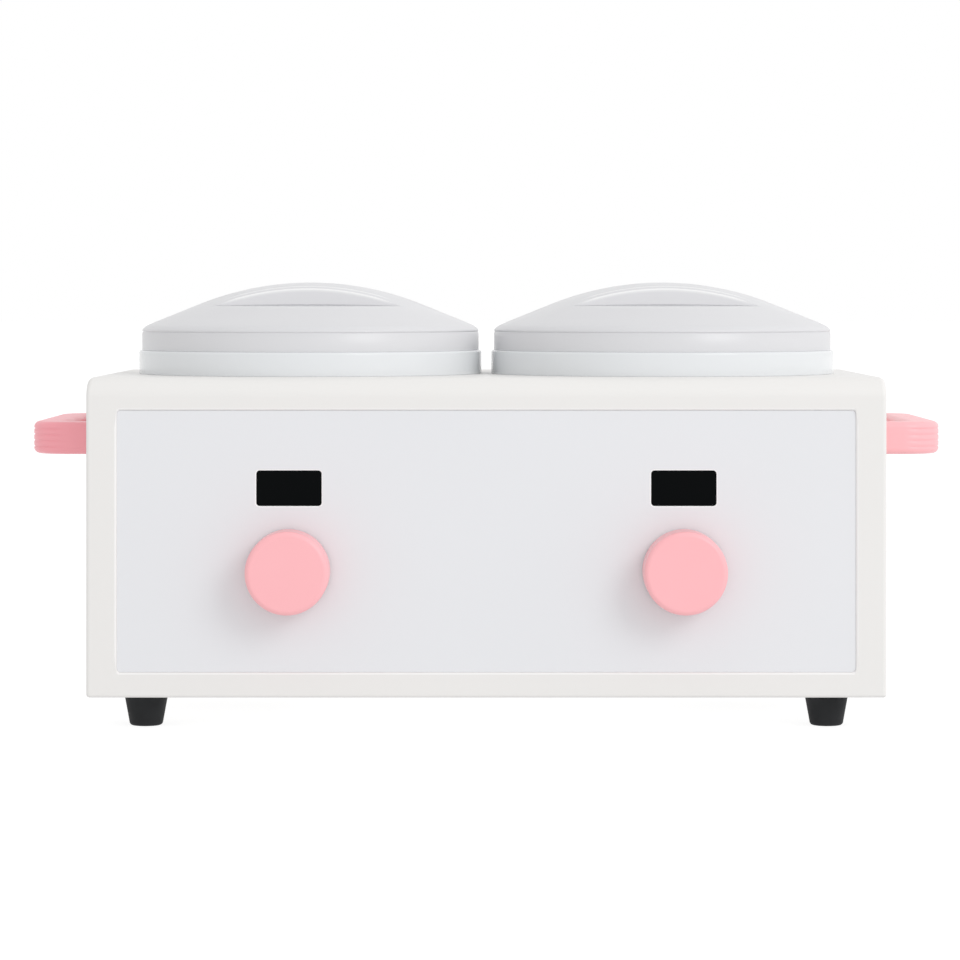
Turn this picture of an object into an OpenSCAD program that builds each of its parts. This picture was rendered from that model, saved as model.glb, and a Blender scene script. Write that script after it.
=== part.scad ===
// Double wax warmer: two heated wells with lift-out pots under domed lids, in one box housing.
// Sizes are millimetres. The front faces -Y, the pots stand side by side along X, and Z is up.
// The origin is on the table, under the middle of the whole warmer.

/* [Housing] */
// Width of the housing across the front
body_w = 390; // [384:1:430]
// Depth of the housing from front to rear
body_d = 205; // [196:1:240]
// Height of the housing without its feet
body_h = 156; // [150:1:180]
// Thickness of the side, rear and top walls
wall = 3; // [2.4:0.1:4]
// Radius of the long edge between the front and the top
front_top_r = 10; // [6:0.5:12]
// Radius of the long edges between the sides and the top
side_top_r = 3.5; // [1:0.1:5]
// Radius of the other outside edges
edge_r = 1.6; // [1:0.1:2.4]
// Radius of the screw bosses inside the housing
boss_r = 4.5; // [4:0.1:6]
// Height of the screw bosses inside the housing
boss_h = 14; // [10:1:20]

/* [Front panel] */
// Frame left bare beside the panel
panel_side_margin = 15; // [12:0.5:20]
// Frame left bare above the panel
panel_top_margin = 16; // [14:0.5:20]
// Frame left bare below the panel
panel_bottom_margin = 12.4; // [10:0.2:16]
// Thickness of the panel
panel_t = 2; // [1.6:0.1:3]
// Depth of the panel's face behind the front of the frame
panel_recess = 1; // [0.6:0.1:1.5]
// Radius of the frame's inner edge
recess_edge_r = 0.9; // [0.5:0.1:1.2]
// Radius of the panel's corners
panel_corner_r = 1.8; // [1:0.1:3]
// Width of the ledge that the panel seats on
ledge_w = 8; // [7.5:0.5:10]
// Thickness of that ledge
ledge_t = 2; // [1.5:0.1:3]

/* [Displays] */
// Distance of each display and knob from the middle of the front
control_x = 96.2; // [80:0.2:110]
// Height of the displays' centres above the bottom of the housing
display_z = 102; // [99:0.5:110]
// Width of a display window
display_w = 31.3; // [28:0.1:36]
// Height of a display window
display_h = 16.8; // [14:0.1:19]
// Radius of a display window's corners
display_corner_r = 1.4; // [0.8:0.1:2]
// Width of the hidden flange round a display window
lens_flange = 1.5; // [1:0.1:2]
// Thickness of that flange
lens_flange_t = 1.2; // [0.8:0.1:1.6]

/* [Knobs] */
// Height of the knobs' centres above the bottom of the housing
knob_z = 62; // [56:0.5:68]
// Diameter of a knob
knob_d = 40.5; // [34:0.5:46]
// Length of a knob
knob_len = 21; // [18:0.5:26]
// Radius of the edge round a knob's face
knob_edge_r = 2.6; // [1:0.1:4]
// Wall of a knob
knob_wall = 2.4; // [1.8:0.1:3.5]
// Thickness of a knob's face
knob_face_t = 3; // [2:0.1:4]
// Radius of a knob's hub
hub_r = 6.5; // [5:0.1:8]
// Gap between a knob and the panel
knob_gap = 1.5; // [1:0.1:3]
// How far a knob can be pushed in
push_travel = 0.5; // [0.3:0.1:0.7]
// Diameter of an encoder's shaft
shaft_d = 6; // [5:0.1:6.6]
// Depth of the flat on the shaft
shaft_flat = 1.4; // [0.5:0.1:2]
// Diameter of the threaded bush round the shaft
bush_d = 9; // [8.4:0.1:10]
// How far the bush stands out of the panel
bush_out = 5; // [4:0.5:6.5]
// Thickness of the nut on the bush
bush_nut_t = 2; // [1.5:0.1:2.5]
// Nut across its flats
bush_nut_af = 12; // [11.5:0.1:13]
// Side of an encoder's square housing
encoder_w = 14; // [13:0.5:18]
// Depth of an encoder's housing behind the panel
encoder_l = 6.5; // [6:0.1:9]
// Radius of the rotor inside an encoder
rotor_r = 5; // [4:0.1:5.5]
// Thickness of that rotor
rotor_t = 2.4; // [1.6:0.1:2.6]
// Thickness of an encoder's front wall
encoder_wall = 1.2; // [0.8:0.1:1.4]

/* [Pots and wells] */
// Inside diameter of a pot
pot_d = 119; // [100:1:122]
// Depth of a pot from its flange to its floor outside
pot_depth = 58; // [45:1:64]
// Wall of a pot
pot_wall = 1.2; // [0.8:0.1:2]
// Radius of a pot's bottom edge outside
pot_bottom_r = 7; // [4:0.5:12]
// Width of a pot's flange beyond its wall
pot_flange_w = 6.6; // [5:0.2:8]
// Radius of the rolled bead on the flange's edge
pot_bead_r = 1.1; // [0.8:0.1:1.4]
// Gap between a pot and its well, all round
well_gap = 0.8; // [0.4:0.1:1.6]
// Gap between a pot and the floor of its well
well_floor_gap = 0.5; // [0.3:0.1:2]
// Wall of a well
well_wall = 2; // [1.5:0.1:3]
// Thickness of a well's floor
well_floor_t = 3; // [2:0.1:5]
// Thickness of a well's flange
well_flange_t = 1.5; // [1:0.1:2]
// How far a well's flange lies on the housing
well_flange_lap = 5; // [3:0.1:5.6]
// Thickness of the gasket under that flange
gasket_t = 1; // [0.6:0.1:1.4]
// Thickness of the heater band round a well
heater_t = 2.4; // [1.5:0.1:3]
// Height of a heater band
heater_h = 30; // [20:1:36]
// Thickness of the insulation round a heater band
jacket_t = 6; // [3:0.5:10]

/* [Collars] */
// Outside diameter of a collar
collar_d = 176; // [174:1:178]
// Height of a collar above the housing
collar_h = 12; // [10:0.5:13]
// Gap between the two collars
collar_gap = 5; // [3:0.5:8]
// Height of a pot's seat above the housing
seat_h = 6; // [5:0.2:7]
// Radius of a collar's top edge
collar_edge_r = 0.9; // [0.4:0.1:1.5]
// Height of the lip that centres a lid
lip_h = 3.2; // [2:0.1:5]
// Thickness of that lip
lip_t = 1.8; // [1.2:0.1:2.4]
// Thickness of a collar's walls
collar_wall = 2.4; // [1.8:0.1:3]
// Radius of the two finger scoops beside a pot's flange
scoop_r = 9; // [6:0.5:10]

/* [Lids] */
// How far a lid's band is set back from the collar
lid_setback = 1.5; // [0.5:0.1:3]
// Height of a lid above its collar
lid_h = 34.7; // [33:0.1:42]
// Wall of a lid
lid_wall = 2; // [1.4:0.1:2.6]
// Radius of the crown
crown_r = 153; // [140:1:170]
// Slope of the dome outside the crown, in degrees
dome_slope = 22; // [19:0.5:24]
// Radius of the shoulder above the band
shoulder_r = 10; // [7:0.5:14]
// Slope of the shoulder where it meets the band, in degrees
shoulder_end = 50; // [40:1:60]
// Width of the grip bar at its foot, between the two finger shelves
grip_w = 72; // [50:1:80]
// Depth of the finger shelves below the top of the lid
shelf_drop = 11.9; // [8:0.1:14]
// Fall of the finger shelves towards the front and rear, in degrees
shelf_slope = 1; // [0:0.5:3]
// Lean of the grip bar's walls, in degrees from upright
grip_draft = 25; // [5:1:35]
// Free space between a lid and the lip inside it
lid_lip_gap = 0.6; // [0.4:0.1:1]

/* [Handles] */
// Length of a handle from front to rear
handle_len = 145; // [120:1:160]
// How far a handle reaches out of the side
handle_reach = 31.3; // [28:0.5:40]
// Height of a handle's section
handle_h = 16; // [14:0.5:20]
// Width of a handle's section
handle_bar = 15.5; // [13:0.5:17]
// Radius of a handle's corners outside
handle_corner_r = 20; // [18:0.5:26]
// Radius of the edges along a handle
handle_edge_r = 3; // [2:0.5:5]
// Height of the underside of the handles above the bottom of the housing
handle_z = 117.3; // [90:0.5:125]
// Width of a grip groove
groove_w = 1.1; // [0.8:0.1:1.6]
// Depth of a grip groove
groove_depth = 0.4; // [0.3:0.1:1]
// Distance between grip grooves
groove_pitch = 2.95; // [2.4:0.05:3.2]
// Number of grip grooves
groove_count = 4; // [2:1:4]

/* [Base and feet] */
// Thickness of the base plate
base_t = 3; // [2:0.1:4]
// How far the base plate is set up inside the housing
base_inset = 3; // [2.6:0.1:5]
// Height of the feet below the housing
foot_out = 15.6; // [12:0.2:20]
// Diameter of a foot at its top
foot_top_d = 22.8; // [18:0.2:24]
// Diameter of a foot at its bottom
foot_bottom_d = 16.6; // [14:0.2:18]
// Radius of a foot's bottom edge
foot_edge_r = 1.8; // [1:0.1:2]
// Distance of the feet's centres from the sides of the housing
foot_side = 27.4; // [24:0.2:40]
// Distance of the feet's centres from the front and rear of the housing
foot_end = 22; // [20:0.5:32]
// Rubber left between a foot's screw head and the base plate
foot_seat_t = 6; // [4:0.5:8]
// Width of a vent slot
vent_w = 2.4; // [1.6:0.1:3]
// Length of a vent slot
vent_len = 26; // [16:1:36]
// Distance between vent slots
vent_pitch = 7; // [6:0.5:8]
// Number of vent slots in each row of the base
base_vents = 8; // [4:1:9]

/* [Rear] */
// Distance of the power inlet from the middle of the rear
inlet_x = 128; // [100:1:140]
// Distance of the power switch from the middle of the rear
switch_x = 78; // [60:1:85]
// Height of both above the bottom of the housing
rear_z = 42; // [36:1:60]
// Number of vent slots in the rear
rear_vents = 12; // [6:1:14]
// Width of the inlet's flange
inlet_flange_w = 50; // [48:0.5:54]
// Height of the inlet's flange
inlet_flange_h = 24; // [23:0.5:28]
// Thickness of the inlet's flange
inlet_flange_t = 3; // [2:0.1:4]
// Distance between the inlet's screws
inlet_screw_pitch = 40; // [38.5:0.5:42]
// Width of the socket
socket_w = 24.6; // [24:0.1:26]
// Height of the socket
socket_h = 16.6; // [16:0.1:18]
// Depth of the socket
socket_depth = 16; // [14:0.5:20]
// Wall of the socket
socket_wall = 1.6; // [1.2:0.1:2]
// Width of the switch's bezel
bezel_w = 15; // [14.5:0.1:17]
// Height of the switch's bezel
bezel_h = 21; // [20.6:0.1:24]
// Thickness of the switch's bezel
bezel_t = 2; // [1.5:0.1:3]
// Depth of the switch behind the bezel
switch_depth = 12; // [11:0.5:16]
// Radius of the rocker about its pin
rocker_r = 8.2; // [7:0.1:8.4]
// Width of the rocker
rocker_w = 9.4; // [8:0.1:10]
// Radius of the rocker's pin
rocker_pin_r = 1; // [0.8:0.1:1.4]
// Tilt of the rocker either way, in degrees
rocker_tilt = 10; // [6:0.5:12]

/* [Boards and heating parts] */
// Width of a control board
control_board_w = 64; // [60:1:70]
// Height of a control board
control_board_h = 72; // [70:1:78]
// Thickness of every board
board_t = 1.6; // [1:0.1:2]
// Side of the processor on a control board
chip_w = 12; // [8:0.5:14]
// Thickness of that processor
chip_t = 2; // [1.2:0.1:3]
// Width of a control board's plugs
plug_w = 8; // [5:0.5:10]
// Length of a control board's plugs
plug_len = 18; // [12:0.5:22]
// Height of a control board's plugs
plug_h = 6; // [4:0.5:8]
// Width of the power board
power_board_w = 130; // [120:1:150]
// Depth of the power board
power_board_d = 80; // [72:1:90]
// Height of the posts under the power board
post_h = 8; // [5:0.5:12]
// Width of the transformer
transformer_w = 38; // [30:1:42]
// Depth of the transformer
transformer_d = 32; // [26:1:36]
// Height of the transformer
transformer_h = 30; // [20:1:36]
// Width of a relay
relay_w = 19; // [14:0.5:24]
// Depth of a relay
relay_d = 15; // [12:0.5:18]
// Height of a relay
relay_h = 15.5; // [10:0.5:20]
// Width of the terminal block
terminal_w = 12; // [10:0.5:14]
// Height of the terminal block
terminal_h = 12; // [10:0.5:16]
// Distance between its terminals
terminal_pitch = 8; // [6:0.5:10]
// Opening of each terminal
terminal_hole = 4; // [3:0.1:5]
// Radius of a thermal cut-out's disc
cutout_r = 8; // [7:0.5:10]
// Height of a thermal cut-out's disc
cutout_h = 7; // [5:0.5:10]
// Length of a temperature sensor's tube
sensor_len = 18; // [12:1:24]
// Radius of a temperature sensor's tube
sensor_r = 2; // [1.5:0.1:3]

/* [Screws and fits] */
// Diameter of the small screws
small_screw_d = 3; // [2.5:0.1:3.4]
// Diameter of the large screws
large_screw_d = 4; // [3.5:0.1:4.5]
// Radial clearance of a screw in the hole it passes through
hole_clear = 0.25; // [0.15:0.05:0.4]
// Radial clearance of a screw in the hole it holds in
thread_clear = 0.05; // [0.02:0.01:0.08]
// Radial clearance of a shaft or pin that turns or slides
run_clear = 0.05; // [0.02:0.01:0.09]
// Gap round plates and windows that drop into an opening
plate_gap = 0.2; // [0.1:0.05:0.3]
// Free space round a moving rocker
rocker_gap = 0.35; // [0.3:0.05:0.5]

/* [Hidden] */
$fn = 96;

left = -1;
right = 1;
over = 1;           // how far a cut runs past the face it starts from
sink = 0.5;         // how far a boss or rib is sunk into the wall that carries it

// Screws and nuts
head_ratio = 1.9;
head_h_ratio = 0.6;
nut_ratio = 1.8;
nut_h_ratio = 0.8;
socket_ratio = 0.9;
socket_h_ratio = 0.35;
thread_len = 8;     // how deep a screw goes into a boss
nut_tail = 1;       // thread left showing behind a nut
screw_tip = 1;      // solid plastic left beyond a screw's tip
post_wall = 1.7;    // round the screw in a post
boss_wall = 1.8;    // round the screw in a collar
head_clear = 0.5;   // round a screw's head in its bore
function head_h(d) = d * head_h_ratio;
function nut_h(d) = d * nut_h_ratio;
function nut_r(d) = d * nut_ratio / 2 / cos(30);

// Rocker of the power switch
rocker_pin_out = 1;         // height of the pin's axis above the rear wall
rocker_vee = 8;             // slope of each half of the rocker, in degrees
rocker_cover = 1;           // plastic left over the pin
rocker_mid_t = rocker_pin_r + rocker_cover;
rocker_corner = rocker_vee + asin(rocker_mid_t * cos(rocker_vee) / rocker_r);
rocker_tip = rocker_pin_out + rocker_r * sin(rocker_corner + rocker_tilt);

// Spade tabs that the wires push onto
spade_w = 6.3;
spade_t = 0.8;
spade_len = 7;

// Corners of holes and of small moulded parts
hole_corner_r = 0.5;
part_corner_r = 0.8;
power_board_corner_r = 2;
inlet_corner_r = 4;
bezel_corner_r = 1.5;
slot_flat = 0.01;           // left flat at the ends of a round-ended slot
bezel_lap = 1;              // how far the switch's bezel covers the edge of its hole

// Overall places
front_wall = panel_recess + panel_t + ledge_t;
knob_out = knob_gap + knob_len - panel_recess;
rear_out = max(rocker_tip, inlet_flange_t, bezel_t);
front_y = knob_out - (knob_out + body_d + rear_out) / 2;
rear_y = front_y + body_d;
mid_y = (front_y + rear_y) / 2;
base_z = foot_out;
plate_z = base_z + base_inset;
foot_h = foot_out + base_inset;
top_z = base_z + body_h;

// Panel
panel_w = body_w - 2 * panel_side_margin;
panel_h = body_h - panel_top_margin - panel_bottom_margin;
panel_mid_z = panel_bottom_margin + panel_h / 2;
stud_len = ledge_t + nut_h(small_screw_d) + nut_tail;
post_r = small_screw_d / 2 + post_wall;
stud_x = panel_w / 2 - ledge_w / 2;
stud_places = [-stud_x, -stud_x / 3, stud_x / 3, stud_x];
stud_z = panel_h / 2 - ledge_w / 2;
board_mid_z = (display_z + knob_z) / 2;
board_hole_x = control_board_w / 2 - post_r;
board_hole_z = control_board_h / 2 - post_r;
board_screw_len = board_t + encoder_l - screw_tip;

// Pot, well and collar, each from the piece inside it
bead_lift = 0.3;            // from the flange's underside to the bead's
seat_clear = 0.6;           // between a pot's bead and the wall of its seat
seat_wall_h = 1.5;          // height of that wall, below the funnel
bore_setback = 1.5;         // how far a collar's bore stands back from its well's
scoop_out = 1;              // how far a scoop's centre lies outside the seat
scoop_floor_t = 1.2;
heater_drop = 4;            // from the top wall down to a heater band
screw_shift = 0.6;          // how far a collar's screws lie outside the middle of its hollow
pot_r = pot_d / 2 + pot_wall;
pot_flange_r = pot_r + pot_flange_w;
well_r = pot_r + well_gap;
well_out_r = well_r + well_wall;
hole_r = well_out_r + heater_t + hole_clear;
well_flange_r = hole_r + well_flange_lap;
seat_r = pot_flange_r + pot_bead_r + seat_clear;
collar_bore_r = well_r + bore_setback;
collar_r = collar_d / 2;
pot_x = collar_r + collar_gap / 2;
flange_top = gasket_t + well_flange_t;
pot_floor = seat_h - pot_depth;
well_floor = pot_floor - well_floor_gap;
well_bottom = well_floor - well_floor_t;
well_bottom_r = pot_bottom_r + well_gap;
heater_top = -wall - heater_drop;
collar_screw_r = (well_flange_r + collar_r) / 2 + screw_shift;
collar_boss_r = large_screw_d / 2 + boss_wall;
collar_screw_len = wall + collar_h - collar_wall - screw_tip;
scoop_x = seat_r + scoop_out;
scoop_z = flange_top + scoop_floor_t;

// Lid
lid_r = collar_r - lid_setback;
lip_r = lid_r - lid_wall - lid_lip_gap;
apex = collar_h + lid_h;
crown_z = apex - crown_r;
shoulder_x = lid_r - shoulder_r * sin(shoulder_end);
dome_drop = (shoulder_x + shoulder_r * sin(dome_slope) - crown_r * sin(dome_slope)) * tan(dome_slope);
shoulder_z = crown_z + crown_r * cos(dome_slope) - dome_drop - shoulder_r * cos(dome_slope);
shelf_z = apex - shelf_drop;

// Handles
handle_y = handle_len / 2;
handle_mid_z = base_z + handle_z + handle_h / 2;
handle_bend_r = handle_corner_r - handle_bar / 2;
handle_screw_len = 14;
groove_run = 17.5;          // how far the grooves reach back round the corners

// Feet and base
foot_x = body_w / 2 - foot_side;
foot_y = body_d / 2 - foot_end;
foot_bore_r = large_screw_d * head_ratio / 2 + head_clear;
base_w = body_w - 2 * wall - 2 * plate_gap;
base_d = body_d - wall - front_wall - 2 * plate_gap;
base_mid_y = mid_y + (front_wall - wall) / 2;
boss_x = body_w / 2 - wall - boss_r + sink;
boss_front_y = front_y + front_wall + boss_r - sink;
boss_rear_y = rear_y - wall - boss_r + sink;

// Power board, behind the middle of the base
power_board_y = mid_y;
power_post_x = power_board_w / 2 - post_r;
power_post_y = power_board_d / 2 - post_r;
board_top = plate_z + base_t + post_h + board_t;

// Finishes
housing_white = [0.93, 0.92, 0.91];
panel_white = [0.91, 0.91, 0.92];
collar_white = [0.90, 0.91, 0.93];
frosted = [0.84, 0.85, 0.86];
pink = [0.99, 0.72, 0.75];
rubber_black = [0.09, 0.09, 0.10];
display_black = [0.06, 0.07, 0.08];
metal = [0.78, 0.79, 0.80];
aluminium = [0.82, 0.82, 0.83];
board_green = [0.10, 0.35, 0.20];
copper = [0.80, 0.52, 0.30];
silicone = [0.75, 0.30, 0.20];
wool = [0.88, 0.86, 0.80];

// Helpers

module rounded_rect(w, h, r) {
    square([w - 2 * r, h], center = true);
    square([w, h - 2 * r], center = true);
    for (x = [-1, 1], y = [-1, 1]) {
        translate([x * (w / 2 - r), y * (h / 2 - r)]) circle(r);
    }
}

module corner_cut(r) {
    difference() {
        translate([-over, -over]) square(r + over);
        translate([r, r]) circle(r);
    }
}

module slab(w, h, t, r) {
    linear_extrude(t) rounded_rect(w, h, r);
}

// Places children on the panel: x to the right, y up, z out of the panel's face
module on_front(x, z) {
    translate([x, front_y + panel_recess, base_z + z]) rotate([90, 0, 0]) children();
}

// Places children on the rear wall: y up, z out of the wall
module on_rear(x, z) {
    translate([x, rear_y, base_z + z]) rotate([90, 0, 180]) children();
}

// Places children on a side wall at a handle's leg: z out of the wall
module on_side(side, y) {
    translate([side * body_w / 2, mid_y + y, handle_mid_z]) rotate([0, side * 90, 0]) children();
}

// Places children at a pot's centre, on top of the housing
module at_pot(side) {
    translate([side * pot_x, mid_y, top_z]) children();
}

// A screw whose head seats at z = 0 and whose shank points along +Z
module screw(d, len) {
    difference() {
        union() {
            cylinder(h = len, d = d);
            translate([0, 0, -head_h(d)]) cylinder(h = head_h(d), d = d * head_ratio);
        }
        translate([0, 0, -head_h(d) - over]) {
            cylinder(h = d * socket_h_ratio + over, d = d * socket_ratio, $fn = 6);
        }
    }
}

// A hexagon nut that seats at z = 0
module nut(d) {
    difference() {
        cylinder(h = nut_h(d), r = nut_r(d), $fn = 6);
        translate([0, 0, -over]) cylinder(h = nut_h(d) + 2 * over, r = d / 2 + thread_clear);
    }
}

// A row of vent slots centred on the origin, cut along Z
module vent_row(count, depth) {
    for (i = [0 : count - 1]) {
        translate([(i - (count - 1) / 2) * vent_pitch, 0, -over]) {
            slab(vent_w, vent_len, depth + 2 * over, vent_w / 2 - slot_flat);
        }
    }
}

// Housing

module side_profile() {
    difference() {
        square([body_d, body_h]);
        corner_cut(edge_r);
        translate([body_d, 0]) mirror([1, 0]) corner_cut(edge_r);
        translate([body_d, body_h]) mirror([1, 0]) mirror([0, 1]) corner_cut(edge_r);
        translate([0, body_h]) mirror([0, 1]) corner_cut(front_top_r);
    }
}

module front_profile() {
    difference() {
        translate([-body_w / 2, 0]) square([body_w, body_h]);
        for (mirrored = [0, 1]) {
            mirror([mirrored, 0]) translate([-body_w / 2, 0]) corner_cut(edge_r);
            mirror([mirrored, 0]) translate([-body_w / 2, body_h]) mirror([0, 1]) corner_cut(side_top_r);
        }
    }
}

module housing_block() {
    intersection() {
        translate([-body_w / 2, front_y, base_z]) rotate([90, 0, 90]) {
            linear_extrude(body_w) side_profile();
        }
        translate([0, rear_y, base_z]) rotate([90, 0, 0]) linear_extrude(body_d) front_profile();
        translate([0, mid_y, base_z]) slab(body_w, body_d, body_h, edge_r);
    }
}

module housing_cavity() {
    depth = body_d - front_wall - wall;
    height = body_h - wall + over;
    inner_r = front_top_r - wall;
    translate([-body_w / 2 + wall, front_y + front_wall, base_z - over]) rotate([90, 0, 90]) {
        linear_extrude(body_w - 2 * wall) difference() {
            square([depth, height]);
            translate([0, height]) mirror([0, 1]) corner_cut(inner_r);
        }
    }
}

// Rounds the frame's inner edge, one side of the recess at a time
module recess_edge(len) {
    rotate([90, 0, 90]) linear_extrude(len, center = true) difference() {
        translate([-over, -recess_edge_r]) square([recess_edge_r + over, recess_edge_r + over]);
        translate([recess_edge_r, -recess_edge_r]) circle(recess_edge_r, $fn = 32);
    }
}

module panel_recess_cut() {
    on_front(0, panel_mid_z) {
        translate([0, 0, -panel_t]) slab(panel_w, panel_h, panel_t + panel_recess + over, panel_corner_r);
        translate([0, 0, -front_wall]) {
            slab(panel_w - 2 * ledge_w, panel_h - 2 * ledge_w, front_wall + over, panel_corner_r);
        }
        for (x = stud_places, z = [-stud_z, stud_z]) {
            translate([x, z, -front_wall - over]) {
                cylinder(h = front_wall + over, r = small_screw_d / 2 + hole_clear);
            }
        }
        for (turn = [0, 180]) {
            rotate([0, 0, turn]) translate([0, -panel_h / 2, panel_recess]) mirror([0, 1, 0]) {
                recess_edge(panel_w);
            }
            rotate([0, 0, turn]) translate([-panel_w / 2, 0, panel_recess]) rotate([0, 0, 90]) {
                recess_edge(panel_h);
            }
        }
    }
}

module housing_shell() {
    color(housing_white) difference() {
        union() {
            difference() {
                housing_block();
                housing_cavity();
            }
            for (x = [-boss_x, 0, boss_x], y = [boss_front_y, boss_rear_y]) {
                translate([x, y, plate_z + base_t]) cylinder(h = boss_h, r = boss_r);
            }
        }
        for (x = [-boss_x, 0, boss_x], y = [boss_front_y, boss_rear_y]) {
            translate([x, y, plate_z + base_t - over]) {
                cylinder(h = thread_len + 2 * over, r = large_screw_d / 2 + thread_clear);
            }
        }
        panel_recess_cut();
        for (side = [left, right]) {
            at_pot(side) {
                translate([0, 0, -wall - over]) cylinder(h = wall + 2 * over, r = hole_r);
                for (turn = [90 : 120 : 330]) {
                    rotate([0, 0, turn]) translate([collar_screw_r, 0, -wall - over]) {
                        cylinder(h = wall + 2 * over, r = large_screw_d / 2 + hole_clear);
                    }
                }
            }
            for (y = [-1, 1]) {
                on_side(side, y * (handle_y - handle_bar / 2)) translate([0, 0, -wall - over]) {
                    cylinder(h = wall + 2 * over, r = large_screw_d / 2 + hole_clear);
                }
            }
        }
        on_rear(inlet_x, rear_z) translate([0, 0, -wall - over]) {
            slab(socket_w + 2 * socket_wall + 2 * plate_gap, socket_h + 2 * socket_wall + 2 * plate_gap,
                wall + 2 * over, hole_corner_r);
            for (x = [-1, 1]) {
                translate([x * inlet_screw_pitch / 2, 0, 0]) {
                    cylinder(h = wall + 2 * over, r = small_screw_d / 2 + hole_clear);
                }
            }
        }
        on_rear(switch_x, rear_z) translate([0, 0, -wall - over]) {
            slab(bezel_w - 2 * bezel_lap + 2 * plate_gap, bezel_h - 2 * bezel_lap + 2 * plate_gap,
                wall + 2 * over, hole_corner_r);
        }
        on_rear(0, body_h / 2) translate([0, 0, -wall]) vent_row(rear_vents, wall);
    }
}

// Front panel, with threaded studs for its nuts and posts for the control boards

module front_panel() {
    color(panel_white) difference() {
        union() {
            on_front(0, panel_mid_z) {
                translate([0, 0, -panel_t]) {
                    slab(panel_w - 2 * plate_gap, panel_h - 2 * plate_gap, panel_t, panel_corner_r);
                }
                for (x = stud_places, z = [-stud_z, stud_z]) {
                    translate([x, z, -panel_t - stud_len]) cylinder(h = stud_len + sink, d = small_screw_d);
                }
            }
            for (side = [left, right], x = [-1, 1], z = [-1, 1]) {
                on_front(side * control_x + x * board_hole_x, board_mid_z + z * board_hole_z) {
                    translate([0, 0, -panel_t - encoder_l]) cylinder(h = encoder_l + sink, r = post_r);
                }
            }
        }
        for (side = [left, right]) {
            on_front(side * control_x, display_z) translate([0, 0, -panel_t - over]) {
                slab(display_w + 2 * plate_gap, display_h + 2 * plate_gap, panel_t + 2 * over,
                    display_corner_r + plate_gap);
            }
            on_front(side * control_x, knob_z) translate([0, 0, -panel_t - over]) {
                cylinder(h = panel_t + 2 * over, r = bush_d / 2 + hole_clear);
            }
            for (x = [-1, 1], z = [-1, 1]) {
                on_front(side * control_x + x * board_hole_x, board_mid_z + z * board_hole_z) {
                    translate([0, 0, -panel_t - encoder_l - over]) {
                        cylinder(h = encoder_l + over, r = small_screw_d / 2 + thread_clear);
                    }
                }
            }
        }
    }
}

module panel_nuts() {
    color(metal) on_front(0, panel_mid_z) {
        for (x = stud_places, z = [-stud_z, stud_z]) {
            translate([x, z, -panel_t - ledge_t]) mirror([0, 0, 1]) nut(small_screw_d);
        }
    }
}

// Display window and the digit module behind it

module display_window(side) {
    color(display_black) on_front(side * control_x, display_z) {
        translate([0, 0, -panel_t]) slab(display_w, display_h, panel_t, display_corner_r);
        translate([0, 0, -panel_t - lens_flange_t]) {
            slab(display_w + 2 * lens_flange, display_h + 2 * lens_flange, lens_flange_t, display_corner_r);
        }
    }
}

module display_module(side) {
    digit_pitch = display_w / 4;
    digit_gap = 1.5;
    digit_margin = 2.5;
    digit_depth = 0.4;
    digit_z = encoder_l - lens_flange_t - digit_depth;
    color(display_black) on_front(side * control_x, display_z) {
        translate([0, 0, -panel_t - encoder_l]) difference() {
            slab(display_w, display_h, encoder_l - lens_flange_t, display_corner_r);
            for (i = [-1, 0, 1]) {
                translate([i * digit_pitch, 0, digit_z]) {
                    slab(digit_pitch - digit_gap, display_h - 2 * digit_margin, digit_depth + over,
                        hole_corner_r);
                }
            }
        }
    }
}

// Control board behind each display and knob

module control_board(side) {
    plug_x = control_board_w / 4;
    color(board_green) on_front(side * control_x, board_mid_z) {
        translate([0, 0, -panel_t - encoder_l - board_t]) difference() {
            union() {
                slab(control_board_w, control_board_h, board_t, part_corner_r);
                translate([0, 0, sink - chip_t]) slab(chip_w, chip_w, chip_t, part_corner_r);
                for (x = [-1, 1]) {
                    translate([x * plug_x, chip_w / 2, sink - plug_h]) {
                        slab(plug_w, plug_len, plug_h, part_corner_r);
                    }
                }
            }
            for (x = [-1, 1], z = [-1, 1]) {
                translate([x * board_hole_x, z * board_hole_z, -over]) {
                    cylinder(h = board_t + 2 * over, r = small_screw_d / 2 + hole_clear);
                }
            }
        }
    }
}

module control_board_screws() {
    color(metal) for (side = [left, right], x = [-1, 1], z = [-1, 1]) {
        on_front(side * control_x + x * board_hole_x, board_mid_z + z * board_hole_z) {
            translate([0, 0, -panel_t - encoder_l - board_t]) screw(small_screw_d, board_screw_len);
        }
    }
}

// Encoder: a fixed housing with a threaded bush, a rotor that turns and a shaft that turns and pushes

shaft_tail = 0.3;   // behind the rotor
shaft_short = 2;    // from the shaft's end to the back of a knob's face
bore_spare = 0.5;   // between the shaft's end and the end of the knob's bore
rotor_front = -panel_t - encoder_wall;
rotor_back = rotor_front - rotor_t - 2 * run_clear;
shaft_back = rotor_back - shaft_tail;
shaft_front = knob_gap + knob_len - knob_face_t - shaft_short;

module encoder(side) {
    color(metal) on_front(side * control_x, knob_z) difference() {
        union() {
            translate([0, 0, -panel_t - encoder_l]) slab(encoder_w, encoder_w, encoder_l, part_corner_r);
            translate([0, 0, -panel_t - sink]) cylinder(h = panel_t + bush_out + sink, d = bush_d);
        }
        translate([0, 0, shaft_back - push_travel - run_clear]) {
            cylinder(h = bush_out - shaft_back + push_travel + over, r = shaft_d / 2 + run_clear);
        }
        translate([0, 0, rotor_back]) {
            cylinder(h = rotor_front - rotor_back, r = rotor_r + run_clear);
        }
    }
}

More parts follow.
